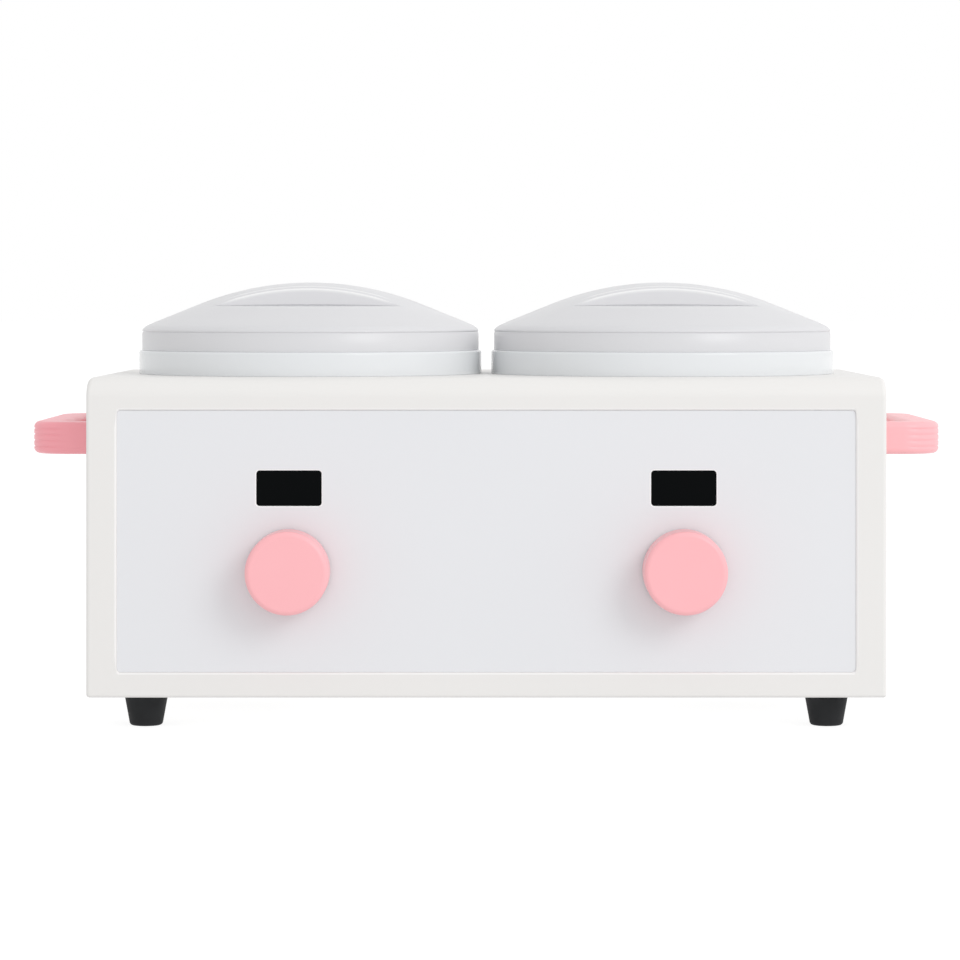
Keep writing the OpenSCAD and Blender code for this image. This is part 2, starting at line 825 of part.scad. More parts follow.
module encoder_nuts() {
    color(metal) for (side = [left, right]) {
        on_front(side * control_x, knob_z) difference() {
            cylinder(h = bush_nut_t, r = bush_nut_af / 2 / cos(30), $fn = 6);
            translate([0, 0, -over]) cylinder(h = bush_nut_t + 2 * over, r = bush_d / 2 + thread_clear);
        }
    }
}

module encoder_rotor(side) {
    color(copper) on_front(side * control_x, knob_z) translate([0, 0, rotor_back + run_clear]) {
        difference() {
            cylinder(h = rotor_t, r = rotor_r);
            translate([0, 0, -over]) linear_extrude(rotor_t + 2 * over) shaft_section(run_clear);
        }
    }
}

module shaft_section(extra) {
    difference() {
        circle(shaft_d / 2 + extra);
        translate([-shaft_d, shaft_d / 2 - shaft_flat + extra]) square([2 * shaft_d, shaft_d]);
    }
}

module encoder_shaft(side) {
    round_out = 1;      // round part in front of the bush
    round_back = -panel_t;
    round_front = bush_out + round_out;
    color(metal) on_front(side * control_x, knob_z) {
        translate([0, 0, shaft_back]) linear_extrude(shaft_front - shaft_back) shaft_section(0);
        translate([0, 0, round_back]) cylinder(h = round_front - round_back, d = shaft_d);
    }
}

module knob(side) {
    r = knob_d / 2;
    color(pink) on_front(side * control_x, knob_z) translate([0, 0, knob_gap]) difference() {
        rotate_extrude() {
            difference() {
                union() {
                    square([r - knob_edge_r, knob_len]);
                    square([r, knob_len - knob_edge_r]);
                    translate([r - knob_edge_r, knob_len - knob_edge_r]) circle(knob_edge_r);
                }
                translate([hub_r, -over]) square([r - knob_wall - hub_r, knob_len - knob_face_t + over]);
                translate([0, -over]) square([hub_r + over, bush_out - knob_gap + 2 * over]);
                translate([-2 * r, -over]) square([2 * r, knob_len + 2 * over]);
            }
        }
        translate([0, 0, -over]) linear_extrude(shaft_front - knob_gap + bore_spare + over) {
            shaft_section(thread_clear);
        }
    }
}

// Collar: a trim ring that clamps the well's flange, seats the pot and centres the lid

module collar_section() {
    difference() {
        union() {
            translate([collar_bore_r, 0]) square([collar_r - collar_edge_r - collar_bore_r, collar_h]);
            translate([collar_bore_r, 0]) square([collar_r - collar_bore_r, collar_h - collar_edge_r]);
            translate([collar_r - collar_edge_r, collar_h - collar_edge_r]) circle(collar_edge_r, $fn = 48);
            translate([lip_r - lip_t, 0]) square([lip_t, collar_h + lip_h]);
        }
        // funnel down to the pot's seat
        polygon([
            [collar_bore_r - over, seat_h], [seat_r, seat_h], [seat_r, seat_h + seat_wall_h],
            [lip_r - lip_t, collar_h], [lip_r - lip_t, collar_h + over],
            [collar_bore_r - over, collar_h + over]
        ]);
        // room for the well's flange and its gasket
        translate([collar_bore_r - over, -over]) {
            square([well_flange_r + plate_gap - collar_bore_r + over, flange_top + over]);
        }
        // hollow underside
        translate([well_flange_r + plate_gap + collar_wall, -over]) {
            square([collar_r - well_flange_r - plate_gap - 2 * collar_wall, seat_h - collar_wall + over]);
        }
    }
}

module collar(side) {
    color(collar_white) at_pot(side) difference() {
        union() {
            rotate_extrude() collar_section();
            for (turn = [90 : 120 : 330]) {
                rotate([0, 0, turn]) translate([collar_screw_r, 0, 0]) {
                    cylinder(h = seat_h - sink, r = collar_boss_r);
                }
            }
            for (turn = [0, 180]) {
                rotate([0, 0, turn]) translate([scoop_x, 0, flange_top + sink]) {
                    cylinder(h = scoop_z - flange_top, r = scoop_r + collar_wall);
                }
            }
        }
        for (turn = [90 : 120 : 330]) {
            rotate([0, 0, turn]) translate([collar_screw_r, 0, -over]) {
                cylinder(h = collar_h - collar_wall + over, r = large_screw_d / 2 + thread_clear);
            }
        }
        for (turn = [0, 180]) {
            rotate([0, 0, turn]) translate([scoop_x, 0, scoop_z]) cylinder(h = collar_h, r = scoop_r);
        }
        cylinder(h = collar_h, r = collar_bore_r);
    }
}

module collar_screws() {
    color(metal) for (side = [left, right]) {
        at_pot(side) for (turn = [90 : 120 : 330]) {
            rotate([0, 0, turn]) translate([collar_screw_r, 0, -wall]) screw(large_screw_d, collar_screw_len);
        }
    }
}

// Well: the heated cup that hangs in the housing from its flange

module gasket(side) {
    color(silicone) at_pot(side) difference() {
        cylinder(h = gasket_t, r = well_flange_r);
        translate([0, 0, -over]) cylinder(h = gasket_t + 2 * over, r = hole_r);
    }
}

// Half section of a round-bottomed cup, from its floor up to a level
module cup_section(r, floor_z, top, bottom_r) {
    translate([0, floor_z]) square([r - bottom_r, top - floor_z]);
    translate([0, floor_z + bottom_r]) square([r, top - floor_z - bottom_r]);
    intersection() {
        translate([r - bottom_r, floor_z + bottom_r]) circle(bottom_r);
        translate([0, floor_z]) square([r, top - floor_z]);
    }
}

module well(side) {
    color(aluminium) at_pot(side) rotate_extrude() difference() {
        union() {
            cup_section(well_out_r, well_bottom, flange_top, well_bottom_r + well_wall);
            translate([well_r, gasket_t]) square([well_flange_r - well_r, well_flange_t]);
        }
        cup_section(well_r, well_floor, flange_top + over, well_bottom_r);
    }
}

module heater_band(side) {
    tab_w = 8;
    tab_out = 3;
    tab_sink = 1.4;     // how far a flat tab runs into the round band
    color(silicone) at_pot(side) translate([0, 0, heater_top - heater_h]) {
        difference() {
            cylinder(h = heater_h, r = well_out_r + heater_t);
            translate([0, 0, -over]) cylinder(h = heater_h + 2 * over, r = well_out_r);
        }
        for (x = [-1, 1]) {
            translate([x * tab_w, well_out_r + heater_t - tab_sink, heater_h / 2]) {
                rotate([90, 0, 0]) translate([0, 0, -tab_out - tab_sink]) {
                    slab(tab_w, tab_w, tab_out + tab_sink, part_corner_r);
                }
            }
        }
    }
}

module insulation(side) {
    gap_w = 32;         // left open for the heater's tabs
    color(wool) at_pot(side) translate([0, 0, heater_top - heater_h]) difference() {
        cylinder(h = heater_h, r = well_out_r + heater_t + jacket_t);
        translate([0, 0, -over]) cylinder(h = heater_h + 2 * over, r = well_out_r + heater_t + plate_gap);
        translate([-gap_w / 2, 0, -over]) cube([gap_w, collar_r, heater_h + 2 * over]);
    }
}

module sensor(side) {
    drop = 1;           // from the well's floor to the tube
    clamp_w = 10;
    clamp_l = 12;
    color(metal) at_pot(side) translate([0, -well_r / 3, well_bottom]) {
        translate([-sensor_len / 2, 0, -sensor_r - drop]) rotate([0, 90, 0]) {
            cylinder(h = sensor_len, r = sensor_r);
        }
        translate([0, 0, -2 * sensor_r - drop]) slab(clamp_w, clamp_l, 2 * sensor_r + drop, part_corner_r);
    }
}

module thermal_cutout(side) {
    rim = 1.5;
    rim_t = 1;
    color(metal) at_pot(side) translate([0, well_r / 3, well_bottom]) {
        translate([0, 0, -rim_t]) cylinder(h = rim_t, r = cutout_r + rim);
        translate([0, 0, -cutout_h]) cylinder(h = cutout_h, r = cutout_r);
        for (x = [-1, 1]) {
            translate([x * cutout_r / 2, 0, -cutout_h - spade_len]) {
                linear_extrude(spade_len + sink) square([spade_t, spade_w], center = true);
            }
        }
    }
}

// Pot: a thin cup with a flange and a rolled bead

module pot(side) {
    flange_top_z = seat_h + pot_wall;
    color(aluminium) at_pot(side) rotate_extrude() difference() {
        union() {
            cup_section(pot_r, pot_floor, flange_top_z, pot_bottom_r);
            translate([pot_r - pot_wall, seat_h]) square([pot_flange_w + pot_wall, pot_wall]);
            translate([pot_flange_r, seat_h + pot_bead_r + bead_lift]) circle(pot_bead_r, $fn = 48);
        }
        cup_section(pot_d / 2, pot_floor + pot_wall, flange_top_z + over, pot_bottom_r - pot_wall);
    }
}

// Lid: a domed shell with a straight band, and a grip bar between two finger shelves

// The dome, drawn inwards by an inset: a cap of a ball, a cone and a turned shoulder and band
module dome(inset, bottom) {
    crown = crown_r - inset;
    shoulder = shoulder_r - inset;
    edge = lid_r - inset;
    end = asin((edge - shoulder_x) / shoulder);
    crown_x = crown * sin(dome_slope);
    crown_edge_z = crown_z + crown * cos(dome_slope);
    slope_x = shoulder_x + shoulder * sin(dome_slope);
    slope_z = shoulder_z + shoulder * cos(dome_slope);
    rim_z = shoulder_z + shoulder * cos(end);
    intersection() {
        translate([0, 0, crown_z]) sphere(crown, $fn = 180);
        translate([0, 0, crown_edge_z]) cylinder(h = crown, r = crown_x + sink);
    }
    translate([0, 0, slope_z]) cylinder(h = crown_edge_z - slope_z, r1 = slope_x, r2 = crown_x);
    rotate_extrude() {
        polygon([[0, bottom], [edge, bottom], [edge, rim_z], [slope_x, slope_z], [0, slope_z]]);
        intersection() {
            translate([shoulder_x, shoulder_z]) circle(shoulder);
            polygon([[slope_x, slope_z], [edge, rim_z], [edge, slope_z]]);
        }
    }
}

// What the two finger shelves take off the dome, drawn inwards by the same inset
module shelf_cut(inset) {
    foot = grip_w / 2 - inset;
    level = shelf_z - inset;
    far = lid_r + over;
    rise = apex + over - level;
    rotate([90, 0, 90]) linear_extrude(2 * far, center = true) {
        for (mirrored = [0, 1]) {
            mirror([mirrored, 0]) polygon([
                [foot, level], [far, level - (far - foot) * tan(shelf_slope)],
                [far, level + rise], [foot - rise * tan(grip_draft), level + rise]
            ]);
        }
    }
}

module lid_solid(inset, bottom) {
    difference() {
        dome(inset, bottom);
        shelf_cut(inset);
    }
}

module lid(side) {
    color(frosted) at_pot(side) difference() {
        lid_solid(0, collar_h);
        lid_solid(lid_wall, collar_h - over);
    }
}

// Handle: a rounded bar bent into a D, with grip grooves round its outside

module handle_section() {
    rounded_rect(handle_bar, handle_h, handle_edge_r);
}

module handle_outline(inset) {
    reach = handle_reach - inset;
    half = handle_y - inset;
    r = handle_corner_r - inset;
    translate([0, -half]) square([reach - r, 2 * half]);
    translate([0, -half + r]) square([reach, 2 * half - 2 * r]);
    for (y = [-1, 1]) {
        translate([reach - r, y * (half - r)]) circle(r);
    }
}

module handle(side) {
    leg = handle_reach - handle_corner_r;
    span = handle_len - 2 * handle_corner_r;
    color(pink) translate([side * body_w / 2, mid_y, handle_mid_z]) mirror([side < 0 ? 1 : 0, 0, 0]) {
        difference() {
            union() {
                translate([handle_reach - handle_bar / 2, span / 2, 0]) rotate([90, 0, 0]) {
                    linear_extrude(span) handle_section();
                }
                for (y = [-1, 1]) {
                    mirror([0, y < 0 ? 1 : 0, 0]) {
                        translate([0, handle_y - handle_bar / 2, 0]) rotate([90, 0, 90]) {
                            linear_extrude(leg) handle_section();
                        }
                        translate([leg, span / 2, 0]) rotate_extrude(angle = 90) {
                            translate([handle_bend_r, 0]) handle_section();
                        }
                    }
                }
            }
            for (i = [0 : groove_count - 1]) {
                translate([0, 0, (i - (groove_count - 1) / 2) * groove_pitch]) {
                    linear_extrude(groove_w, center = true) difference() {
                        translate([handle_reach - groove_run, -handle_y - over]) {
                            square([handle_reach, handle_len + 2 * over]);
                        }
                        handle_outline(groove_depth);
                    }
                }
            }
            for (y = [-1, 1]) {
                translate([-over, y * (handle_y - handle_bar / 2), 0]) rotate([0, 90, 0]) {
                    cylinder(h = handle_screw_len - wall + 2 * over, r = large_screw_d / 2 + thread_clear);
                }
            }
        }
    }
}

module handle_screws() {
    color(metal) for (side = [left, right], y = [-1, 1]) {
        on_side(side, y * (handle_y - handle_bar / 2)) translate([0, 0, -wall]) {
            screw(large_screw_d, handle_screw_len);
        }
    }
}

// Base plate, its screws and the feet

module base_plate() {
    color(housing_white) difference() {
        union() {
            translate([0, base_mid_y, plate_z]) slab(base_w, base_d, base_t, part_corner_r);
            for (x = [-1, 1], y = [-1, 1]) {
                translate([x * power_post_x, power_board_y + y * power_post_y, plate_z + base_t - sink]) {
                    cylinder(h = post_h + sink, r = post_r);
                }
            }
        }
        for (x = [-boss_x, 0, boss_x], y = [boss_front_y, boss_rear_y]) {
            translate([x, y, plate_z - over]) {
                cylinder(h = base_t + 2 * over, r = large_screw_d / 2 + hole_clear);
            }
        }
        for (x = [-foot_x, foot_x], y = [-foot_y, foot_y]) {
            translate([x, mid_y + y, plate_z - over]) {
                cylinder(h = base_t + 2 * over, r = large_screw_d / 2 + hole_clear);
            }
        }
        for (x = [-1, 1], y = [-1, 1]) {
            translate([x * power_post_x, power_board_y + y * power_post_y, plate_z + over]) {
                cylinder(h = base_t + post_h, r = small_screw_d / 2 + thread_clear);
            }
        }
        for (side = [left, right]) {
            translate([side * (power_board_w + body_w) / 4, mid_y, plate_z]) vent_row(base_vents, base_t);
        }
    }
}

module base_screws() {
    color(metal) for (x = [-boss_x, 0, boss_x], y = [boss_front_y, boss_rear_y]) {
        translate([x, y, plate_z]) screw(large_screw_d, base_t + thread_len);
    }
}

module foot(x, y) {
    head_room = foot_h - foot_seat_t;
    top_r = foot_top_d / 2;
    bottom_r = foot_bottom_d / 2;
    color(rubber_black) translate([x * foot_x, mid_y + y * foot_y, 0]) difference() {
        rotate_extrude() {
            polygon([[0, foot_edge_r], [bottom_r, foot_edge_r], [top_r, foot_h], [0, foot_h]]);
            square([bottom_r - foot_edge_r, foot_edge_r]);
            intersection() {
                translate([bottom_r - foot_edge_r, foot_edge_r]) circle(foot_edge_r, $fn = 48);
                square([bottom_r, foot_edge_r]);
            }
        }
        translate([0, 0, -over]) cylinder(h = head_room + over, r = foot_bore_r);
        translate([0, 0, head_room - over]) {
            cylinder(h = foot_seat_t + 2 * over, r = large_screw_d / 2 + hole_clear);
        }
    }
}

module foot_screws() {
    color(metal) for (x = [-foot_x, foot_x], y = [-foot_y, foot_y]) {
        translate([x, mid_y + y, foot_h - foot_seat_t]) {
            screw(large_screw_d, foot_seat_t + base_t + nut_h(large_screw_d) + nut_tail);
        }
    }
}

module foot_nuts() {
    color(metal) for (x = [-foot_x, foot_x], y = [-foot_y, foot_y]) {
        translate([x, mid_y + y, plate_z + base_t]) nut(large_screw_d);
    }
}

// Power inlet

pin_pitch = 7;      // from the middle pin to each outer pin
pin_w = 2;
pin_h = 4;
pin_len = 14;
pin_up = 2;         // outer pins sit this far below the middle, the earth pin this far above

module socket_outline(extra) {
    w = socket_w / 2 + extra;
    h = socket_h / 2 + extra;
    bevel = 4.5;
    polygon([[-w, -h], [w, -h], [w, h - bevel], [w - bevel, h], [-w + bevel, h], [-w, h - bevel]]);
}

module power_inlet() {
    body_depth = socket_depth + socket_wall - inlet_flange_t;
    color(rubber_black) on_rear(inlet_x, rear_z) difference() {
        union() {
            slab(inlet_flange_w, inlet_flange_h, inlet_flange_t, inlet_corner_r);
            translate([0, 0, -body_depth]) linear_extrude(body_depth + sink) socket_outline(socket_wall);
        }
        translate([0, 0, inlet_flange_t - socket_depth]) linear_extrude(socket_depth + over) {
            socket_outline(0);
        }
        for (x = [-1, 1]) {
            translate([x * inlet_screw_pitch / 2, 0, -over]) {
                cylinder(h = inlet_flange_t + 2 * over, r = small_screw_d / 2 + hole_clear);
            }
        }
        pin_places() {
            cube([pin_w + 2 * thread_clear, pin_h + 2 * thread_clear, 2 * (socket_depth + socket_wall)],
                center = true);
        }
    }
}

module pin_places() {
    translate([0, pin_up, 0]) children();
    for (x = [-1, 1]) {
        translate([x * pin_pitch, -pin_up, 0]) children();
    }
}

module inlet_pins() {
    tail = 8;
    back = inlet_flange_t - socket_depth;
    color(metal) on_rear(inlet_x, rear_z) pin_places() {
        translate([-pin_w / 2, -pin_h / 2, back - socket_wall - tail]) {
            cube([pin_w, pin_h, pin_len + socket_wall + tail]);
        }
    }
}

module inlet_screws() {
    color(metal) on_rear(inlet_x, rear_z) for (x = [-1, 1]) {
        translate([x * inlet_screw_pitch / 2, 0, inlet_flange_t]) rotate([180, 0, 0]) {
            screw(small_screw_d, inlet_flange_t + wall + nut_h(small_screw_d) + nut_tail);
        }
    }
}

module inlet_nuts() {
    color(metal) on_rear(inlet_x, rear_z) for (x = [-1, 1]) {
        translate([x * inlet_screw_pitch / 2, 0, -wall]) rotate([180, 0, 0]) nut(small_screw_d);
    }
}

// Power switch: a rocker on a pin across its frame

module switch_frame() {
    cavity_r = rocker_r + rocker_gap;
    color(rubber_black) on_rear(switch_x, rear_z) {
        difference() {
            union() {
                slab(bezel_w, bezel_h, bezel_t, bezel_corner_r);
                translate([0, 0, -switch_depth]) {
                    slab(bezel_w - 2 * bezel_lap, bezel_h - 2 * bezel_lap, switch_depth + sink,
                        part_corner_r);
                }
            }
            translate([-rocker_w / 2 - rocker_gap, 0, rocker_pin_out]) rotate([0, 90, 0]) {
                cylinder(h = rocker_w + 2 * rocker_gap, r = cavity_r);
            }
        }
        translate([-rocker_w / 2 - rocker_gap - sink, 0, rocker_pin_out]) rotate([0, 90, 0]) {
            cylinder(h = rocker_w + 2 * rocker_gap + 2 * sink, r = rocker_pin_r);
        }
        for (y = [-1, 1]) {
            translate([0, y * bezel_h / 4, -switch_depth - spade_len]) {
                linear_extrude(spade_len + sink) square([spade_w, spade_t], center = true);
            }
        }
    }
}

module switch_rocker() {
    reach = rocker_r + over;
    rise = reach * tan(rocker_vee);
    below = 3;          // from the pin's axis down to the flat underside
    color(display_black) on_rear(switch_x, rear_z) translate([0, 0, rocker_pin_out]) {
        rotate([-rocker_tilt, 0, 0]) rotate([90, 0, 90]) linear_extrude(rocker_w, center = true) {
            difference() {
                intersection() {
                    circle(rocker_r);
                    polygon([
                        [-reach, -below], [reach, -below], [reach, rocker_mid_t + rise],
                        [0, rocker_mid_t], [-reach, rocker_mid_t + rise]
                    ]);
                }
                circle(rocker_pin_r + run_clear, $fn = 48);
            }
        }
    }
}

// Power board and what it carries

module power_board() {
    color(board_green) translate([0, power_board_y, board_top - board_t]) difference() {
        slab(power_board_w, power_board_d, board_t, power_board_corner_r);
        for (x = [-1, 1], y = [-1, 1]) {
            translate([x * power_post_x, y * power_post_y, -over]) {
                cylinder(h = board_t + 2 * over, r = small_screw_d / 2 + hole_clear);
            }
        }
    }
}

module power_board_screws() {
    color(metal) for (x = [-1, 1], y = [-1, 1]) {
        translate([x * power_post_x, power_board_y + y * power_post_y, board_top]) rotate([180, 0, 0]) {
            screw(small_screw_d, board_t + post_h - screw_tip);
        }
    }
}

module transformer() {
    bobbin = 4;
    color(copper) translate([-power_board_w / 4, power_board_y, board_top]) {
        slab(transformer_w, transformer_d, transformer_h - bobbin, part_corner_r);
        translate([0, 0, transformer_h - bobbin - sink]) {
            slab(transformer_w - 2 * bobbin, transformer_d - 2 * bobbin, bobbin + sink, part_corner_r);
        }
    }
}

module relays() {
    color(display_black) for (y = [-1, 1]) {
        translate([power_board_w / 8, power_board_y + y * power_board_d / 5, board_top]) {
            slab(relay_w, relay_d, relay_h, part_corner_r);
        }
    }
}

module terminal_block() {
    ways = 6;
    edge = 8;           // from the edge of the board to the block
    color(board_green) translate([power_board_w / 2 - edge - terminal_w / 2, power_board_y, board_top]) {
        difference() {
            slab(terminal_w, ways * terminal_pitch, terminal_h, part_corner_r);
            for (i = [0 : ways - 1]) {
                translate([0, (i - (ways - 1) / 2) * terminal_pitch, 0]) {
                    translate([0, 0, terminal_h / 2]) {
                        cylinder(h = terminal_h / 2 + over, d = terminal_hole);
                    }
                    translate([0, -terminal_hole / 2, terminal_h / 8]) {
                        cube([terminal_w / 2 + over, terminal_hole, terminal_hole]);
                    }
                }
            }
        }
    }
}

housing_shell();
front_panel();
panel_nuts();
base_plate();
base_screws();
foot(left, -1);  // front_left_foot
foot(right, -1);  // front_right_foot
foot(left, 1);  // rear_left_foot
foot(right, 1);  // rear_right_foot
foot_screws();
foot_nuts();
handle(left);  // left_handle
handle(right);  // right_handle
handle_screws();
collar(left);  // left_collar
collar(right);  // right_collar
collar_screws();
gasket(left);  // left_gasket
gasket(right);  // right_gasket
well(left);  // left_well
well(right);  // right_well
heater_band(left);  // left_heater_band
heater_band(right);  // right_heater_band
insulation(left);  // left_insulation
insulation(right);  // right_insulation
sensor(left);  // left_sensor
sensor(right);  // right_sensor
thermal_cutout(left);  // left_thermal_cutout
thermal_cutout(right);  // right_thermal_cutout
pot(left);  // left_pot
pot(right);  // right_pot
lid(left);  // left_lid
lid(right);  // right_lid
display_window(left);  // left_display_window
display_window(right);  // right_display_window
display_module(left);  // left_display_module
display_module(right);  // right_display_module
control_board(left);  // left_control_board
control_board(right);  // right_control_board
control_board_screws();
encoder(left);  // left_encoder
encoder(right);  // right_encoder
encoder_nuts();
encoder_rotor(left);  // left_encoder_rotor
encoder_rotor(right);  // right_encoder_rotor
encoder_shaft(left);  // left_encoder_shaft
encoder_shaft(right);  // right_encoder_shaft
knob(left);  // left_knob
knob(right);  // right_knob
power_inlet();
inlet_pins();
inlet_screws();
inlet_nuts();
switch_frame();
switch_rocker();
power_board();
power_board_screws();
transformer();
relays();
terminal_block();
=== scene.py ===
# %% [markdown]
# # Double wax warmer
# This lesson dresses a measured model of a countertop wax warmer: a white box with two heated
# pots under domed, frosted lids, two dark digit windows, two pink knobs and two pink handles.
# The measured solids come in first and never move. Every piece that shows is then either given
# a finish, or modelled again on the same spot with softer edges and finer detail.
# All lengths are metres, except the lathe's sections, which are drawn in millimetres. The front
# of the warmer faces -Y, X runs to the right and Z is up.

# %% Load the measured model
import math
import bmesh
import bpy
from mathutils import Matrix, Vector


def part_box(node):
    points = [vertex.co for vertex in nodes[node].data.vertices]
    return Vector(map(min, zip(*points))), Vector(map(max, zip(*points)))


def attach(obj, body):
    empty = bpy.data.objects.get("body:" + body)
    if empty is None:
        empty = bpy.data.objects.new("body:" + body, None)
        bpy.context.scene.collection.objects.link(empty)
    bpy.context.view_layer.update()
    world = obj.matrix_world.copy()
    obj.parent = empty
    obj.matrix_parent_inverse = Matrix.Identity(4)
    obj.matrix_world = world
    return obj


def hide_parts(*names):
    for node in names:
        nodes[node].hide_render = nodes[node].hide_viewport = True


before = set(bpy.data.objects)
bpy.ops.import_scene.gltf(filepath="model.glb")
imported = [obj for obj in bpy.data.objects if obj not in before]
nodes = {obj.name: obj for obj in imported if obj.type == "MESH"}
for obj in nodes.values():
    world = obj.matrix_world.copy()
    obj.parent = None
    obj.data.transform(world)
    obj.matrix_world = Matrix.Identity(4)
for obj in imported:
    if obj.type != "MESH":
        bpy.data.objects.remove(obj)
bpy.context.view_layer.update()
MM = 0.001

# %% [markdown]
# ## Sizes read from the solids
# A dressed piece has to sit exactly where its solid is. The safest way is to ask each solid for
# its box and to work the centre lines and radii out from it, rather than to type them again.

# %% Read the main places
housing_low, housing_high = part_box("housing_shell")
FRONT, REAR = housing_low.y, housing_high.y
BASE, TOP = housing_low.z, housing_high.z
HALF_W = housing_high.x
MID_Y = (FRONT + REAR) / 2
SIDES = {"left": -1, "right": 1}


def middle(node):
    low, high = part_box(node)
    return (low + high) / 2


POT_X = middle("right_collar").x
print(f"housing {2 * HALF_W:.3f} wide, {REAR - FRONT:.3f} deep, top at {TOP:.4f}")
print(f"pots at {POT_X:.4f} on both sides of the middle")

# %% [markdown]
# ## Camera
# The photo was taken from straight in front, a little above the lids, from a fair distance:
# upright edges stay upright and the far top edge is only slightly narrower. A level camera with a
# long lens and a shifted sensor gives that view, as an architect's camera does.

# %% Set up the camera
CAMERA_DISTANCE = 1.745
CAMERA_HEIGHT = 0.21007
camera_data = bpy.data.cameras.new("camera")
camera_data.sensor_width = 36
camera_data.lens = 134.4
camera_data.shift_x = -0.006615
camera_data.shift_y = -0.18906
camera = bpy.data.objects.new("camera", camera_data)
camera.location = (0, FRONT - CAMERA_DISTANCE, CAMERA_HEIGHT)
camera.rotation_euler = (math.radians(90), 0, 0)
bpy.context.scene.collection.objects.link(camera)
bpy.context.scene.camera = camera
print("camera at", tuple(round(value, 4) for value in camera.location))

# %% [markdown]
# ## Light
# A white studio tent lights the product softly from all round, and one large soft lamp stands to
# the upper right in front. The knobs' shadows fall to the lower left, which tells where it is.
# The view transform stays plain, so that a colour renders about as it is written.

# %% Light the studio
AMBIENT = 1.04
FROM_RIGHT = 0.22
FROM_ABOVE = -0.24
KEY_POWER = 17
KEY_SIZE = 1.2
KEY_DISTANCE = 3
KEY_DIRECTION = Vector((0.55, -0.69, 0.48)).normalized()

bpy.context.scene.view_settings.view_transform = "Standard"


def calculate(tree, operation, *values):
    """A maths node on numbers or on other nodes' outputs."""
    sum_node = tree.nodes.new("ShaderNodeMath")
    sum_node.operation = operation
    for socket, value in zip(sum_node.inputs, values):
        if isinstance(value, (int, float)):
            socket.default_value = value
        else:
            tree.links.new(value, socket)
    return sum_node.outputs[0]


def seen_directly(tree):
    """One where the eye, a reflection or a pane looks, and nought for plain light."""
    path = tree.nodes.new("ShaderNodeLightPath")
    seen = calculate(tree, "MAXIMUM", path.outputs["Is Camera Ray"], path.outputs["Is Glossy Ray"])
    return calculate(tree, "MAXIMUM", seen, path.outputs["Is Transmission Ray"])


def either(tree, chooser, unseen, seen):
    """The first value for plain light and the second for what is looked at."""
    change = calculate(tree, "SUBTRACT", seen, unseen)
    return calculate(tree, "MULTIPLY_ADD", change, chooser, unseen)


world = bpy.data.worlds.new("studio")
world.use_nodes = True
bpy.context.scene.world = world
tree = world.node_tree
backdrop = tree.nodes["Background"]
backdrop.inputs["Color"].default_value = (1, 1, 1, 1)
direction = tree.nodes.new("ShaderNodeTexCoord")
axes = tree.nodes.new("ShaderNodeSeparateXYZ")
tree.links.new(direction.outputs["Generated"], axes.inputs[0])
tent = calculate(tree, "MULTIPLY_ADD", axes.outputs["X"], FROM_RIGHT, AMBIENT)
tent = calculate(tree, "MULTIPLY_ADD", axes.outputs["Z"], FROM_ABOVE, tent)
tree.links.new(either(tree, seen_directly(tree), tent, 1), backdrop.inputs["Strength"])

key_data = bpy.data.lights.new("key_lamp", "AREA")
key_data.size = KEY_SIZE
key_data.energy = KEY_POWER
key = bpy.data.objects.new("key_lamp", key_data)
target = Vector((0, MID_Y, (BASE + TOP) / 2))
key.location = target + KEY_DIRECTION * KEY_DISTANCE
key.rotation_euler = (-KEY_DIRECTION).to_track_quat("-Z", "Y").to_euler()
bpy.context.scene.collection.objects.link(key)
print("tent light", AMBIENT, "key lamp", KEY_POWER, "W")

# %% [markdown]
# ## Floor
# The product stands on a white sweep. The eye sees it nearly pure white, and a part of it still
# takes light and shade, so the warmer keeps a faint shadow under it.

# %% Lay the floor
FLOOR_SIZE = 60
CARD = 0.26
BOUNCE_GLOW = 0.56
EYE_GLOW = 0.86
bpy.ops.object.select_all(action="DESELECT")
bpy.ops.mesh.primitive_plane_add(size=FLOOR_SIZE, location=(0, 0, 0))
floor = bpy.context.active_object
floor.name = "floor"
floor_paint = bpy.data.materials.new("floor_white")
floor_paint.use_nodes = True
tree = floor_paint.node_tree
tree.nodes.clear()
output = tree.nodes.new("ShaderNodeOutputMaterial")
card = tree.nodes.new("ShaderNodeBsdfDiffuse")
card.inputs["Color"].default_value = (CARD, CARD, CARD, 1)
glow = tree.nodes.new("ShaderNodeEmission")
glow.inputs["Color"].default_value = (1, 1, 1, 1)
tree.links.new(either(tree, seen_directly(tree), BOUNCE_GLOW, EYE_GLOW), glow.inputs["Strength"])
both = tree.nodes.new("ShaderNodeAddShader")
tree.links.new(card.outputs[0], both.inputs[0])
tree.links.new(glow.outputs[0], both.inputs[1])
tree.links.new(both.outputs[0], output.inputs["Surface"])
floor.data.materials.append(floor_paint)
print("floor", FLOOR_SIZE, "m square")

# %% [markdown]
# ## Finishes
# Each finish starts from one shader with its fixed values set on it: how rough it is, whether it
# is metal, how strongly it mirrors. Then fine noise gives it what a real moulding has: a slight
# drift of tone, patches that are a touch glossier, and a very shallow grain. The noise reads
# places in metres, so a scale of 900 gives a grain of about a millimetre.

# %% Make a base finish
def shader_of(material):
    return material.node_tree.nodes["Principled BSDF"]


def finish(name, colour, roughness, **fixed):
    """A material with a principled shader, its fixed values set on the shader itself."""
    material = bpy.data.materials.new(name)
    material.use_nodes = True
    shader = shader_of(material)
    shader.inputs["Base Color"].default_value = (*colour, 1)
    shader.inputs["Roughness"].default_value = roughness
    for socket, value in fixed.items():
        shader.inputs[socket.replace("_", " ")].default_value = value
    return material


def piece_places(tree):
    """Places on the piece in metres."""
    return tree.nodes.new("ShaderNodeTexCoord").outputs["Object"]


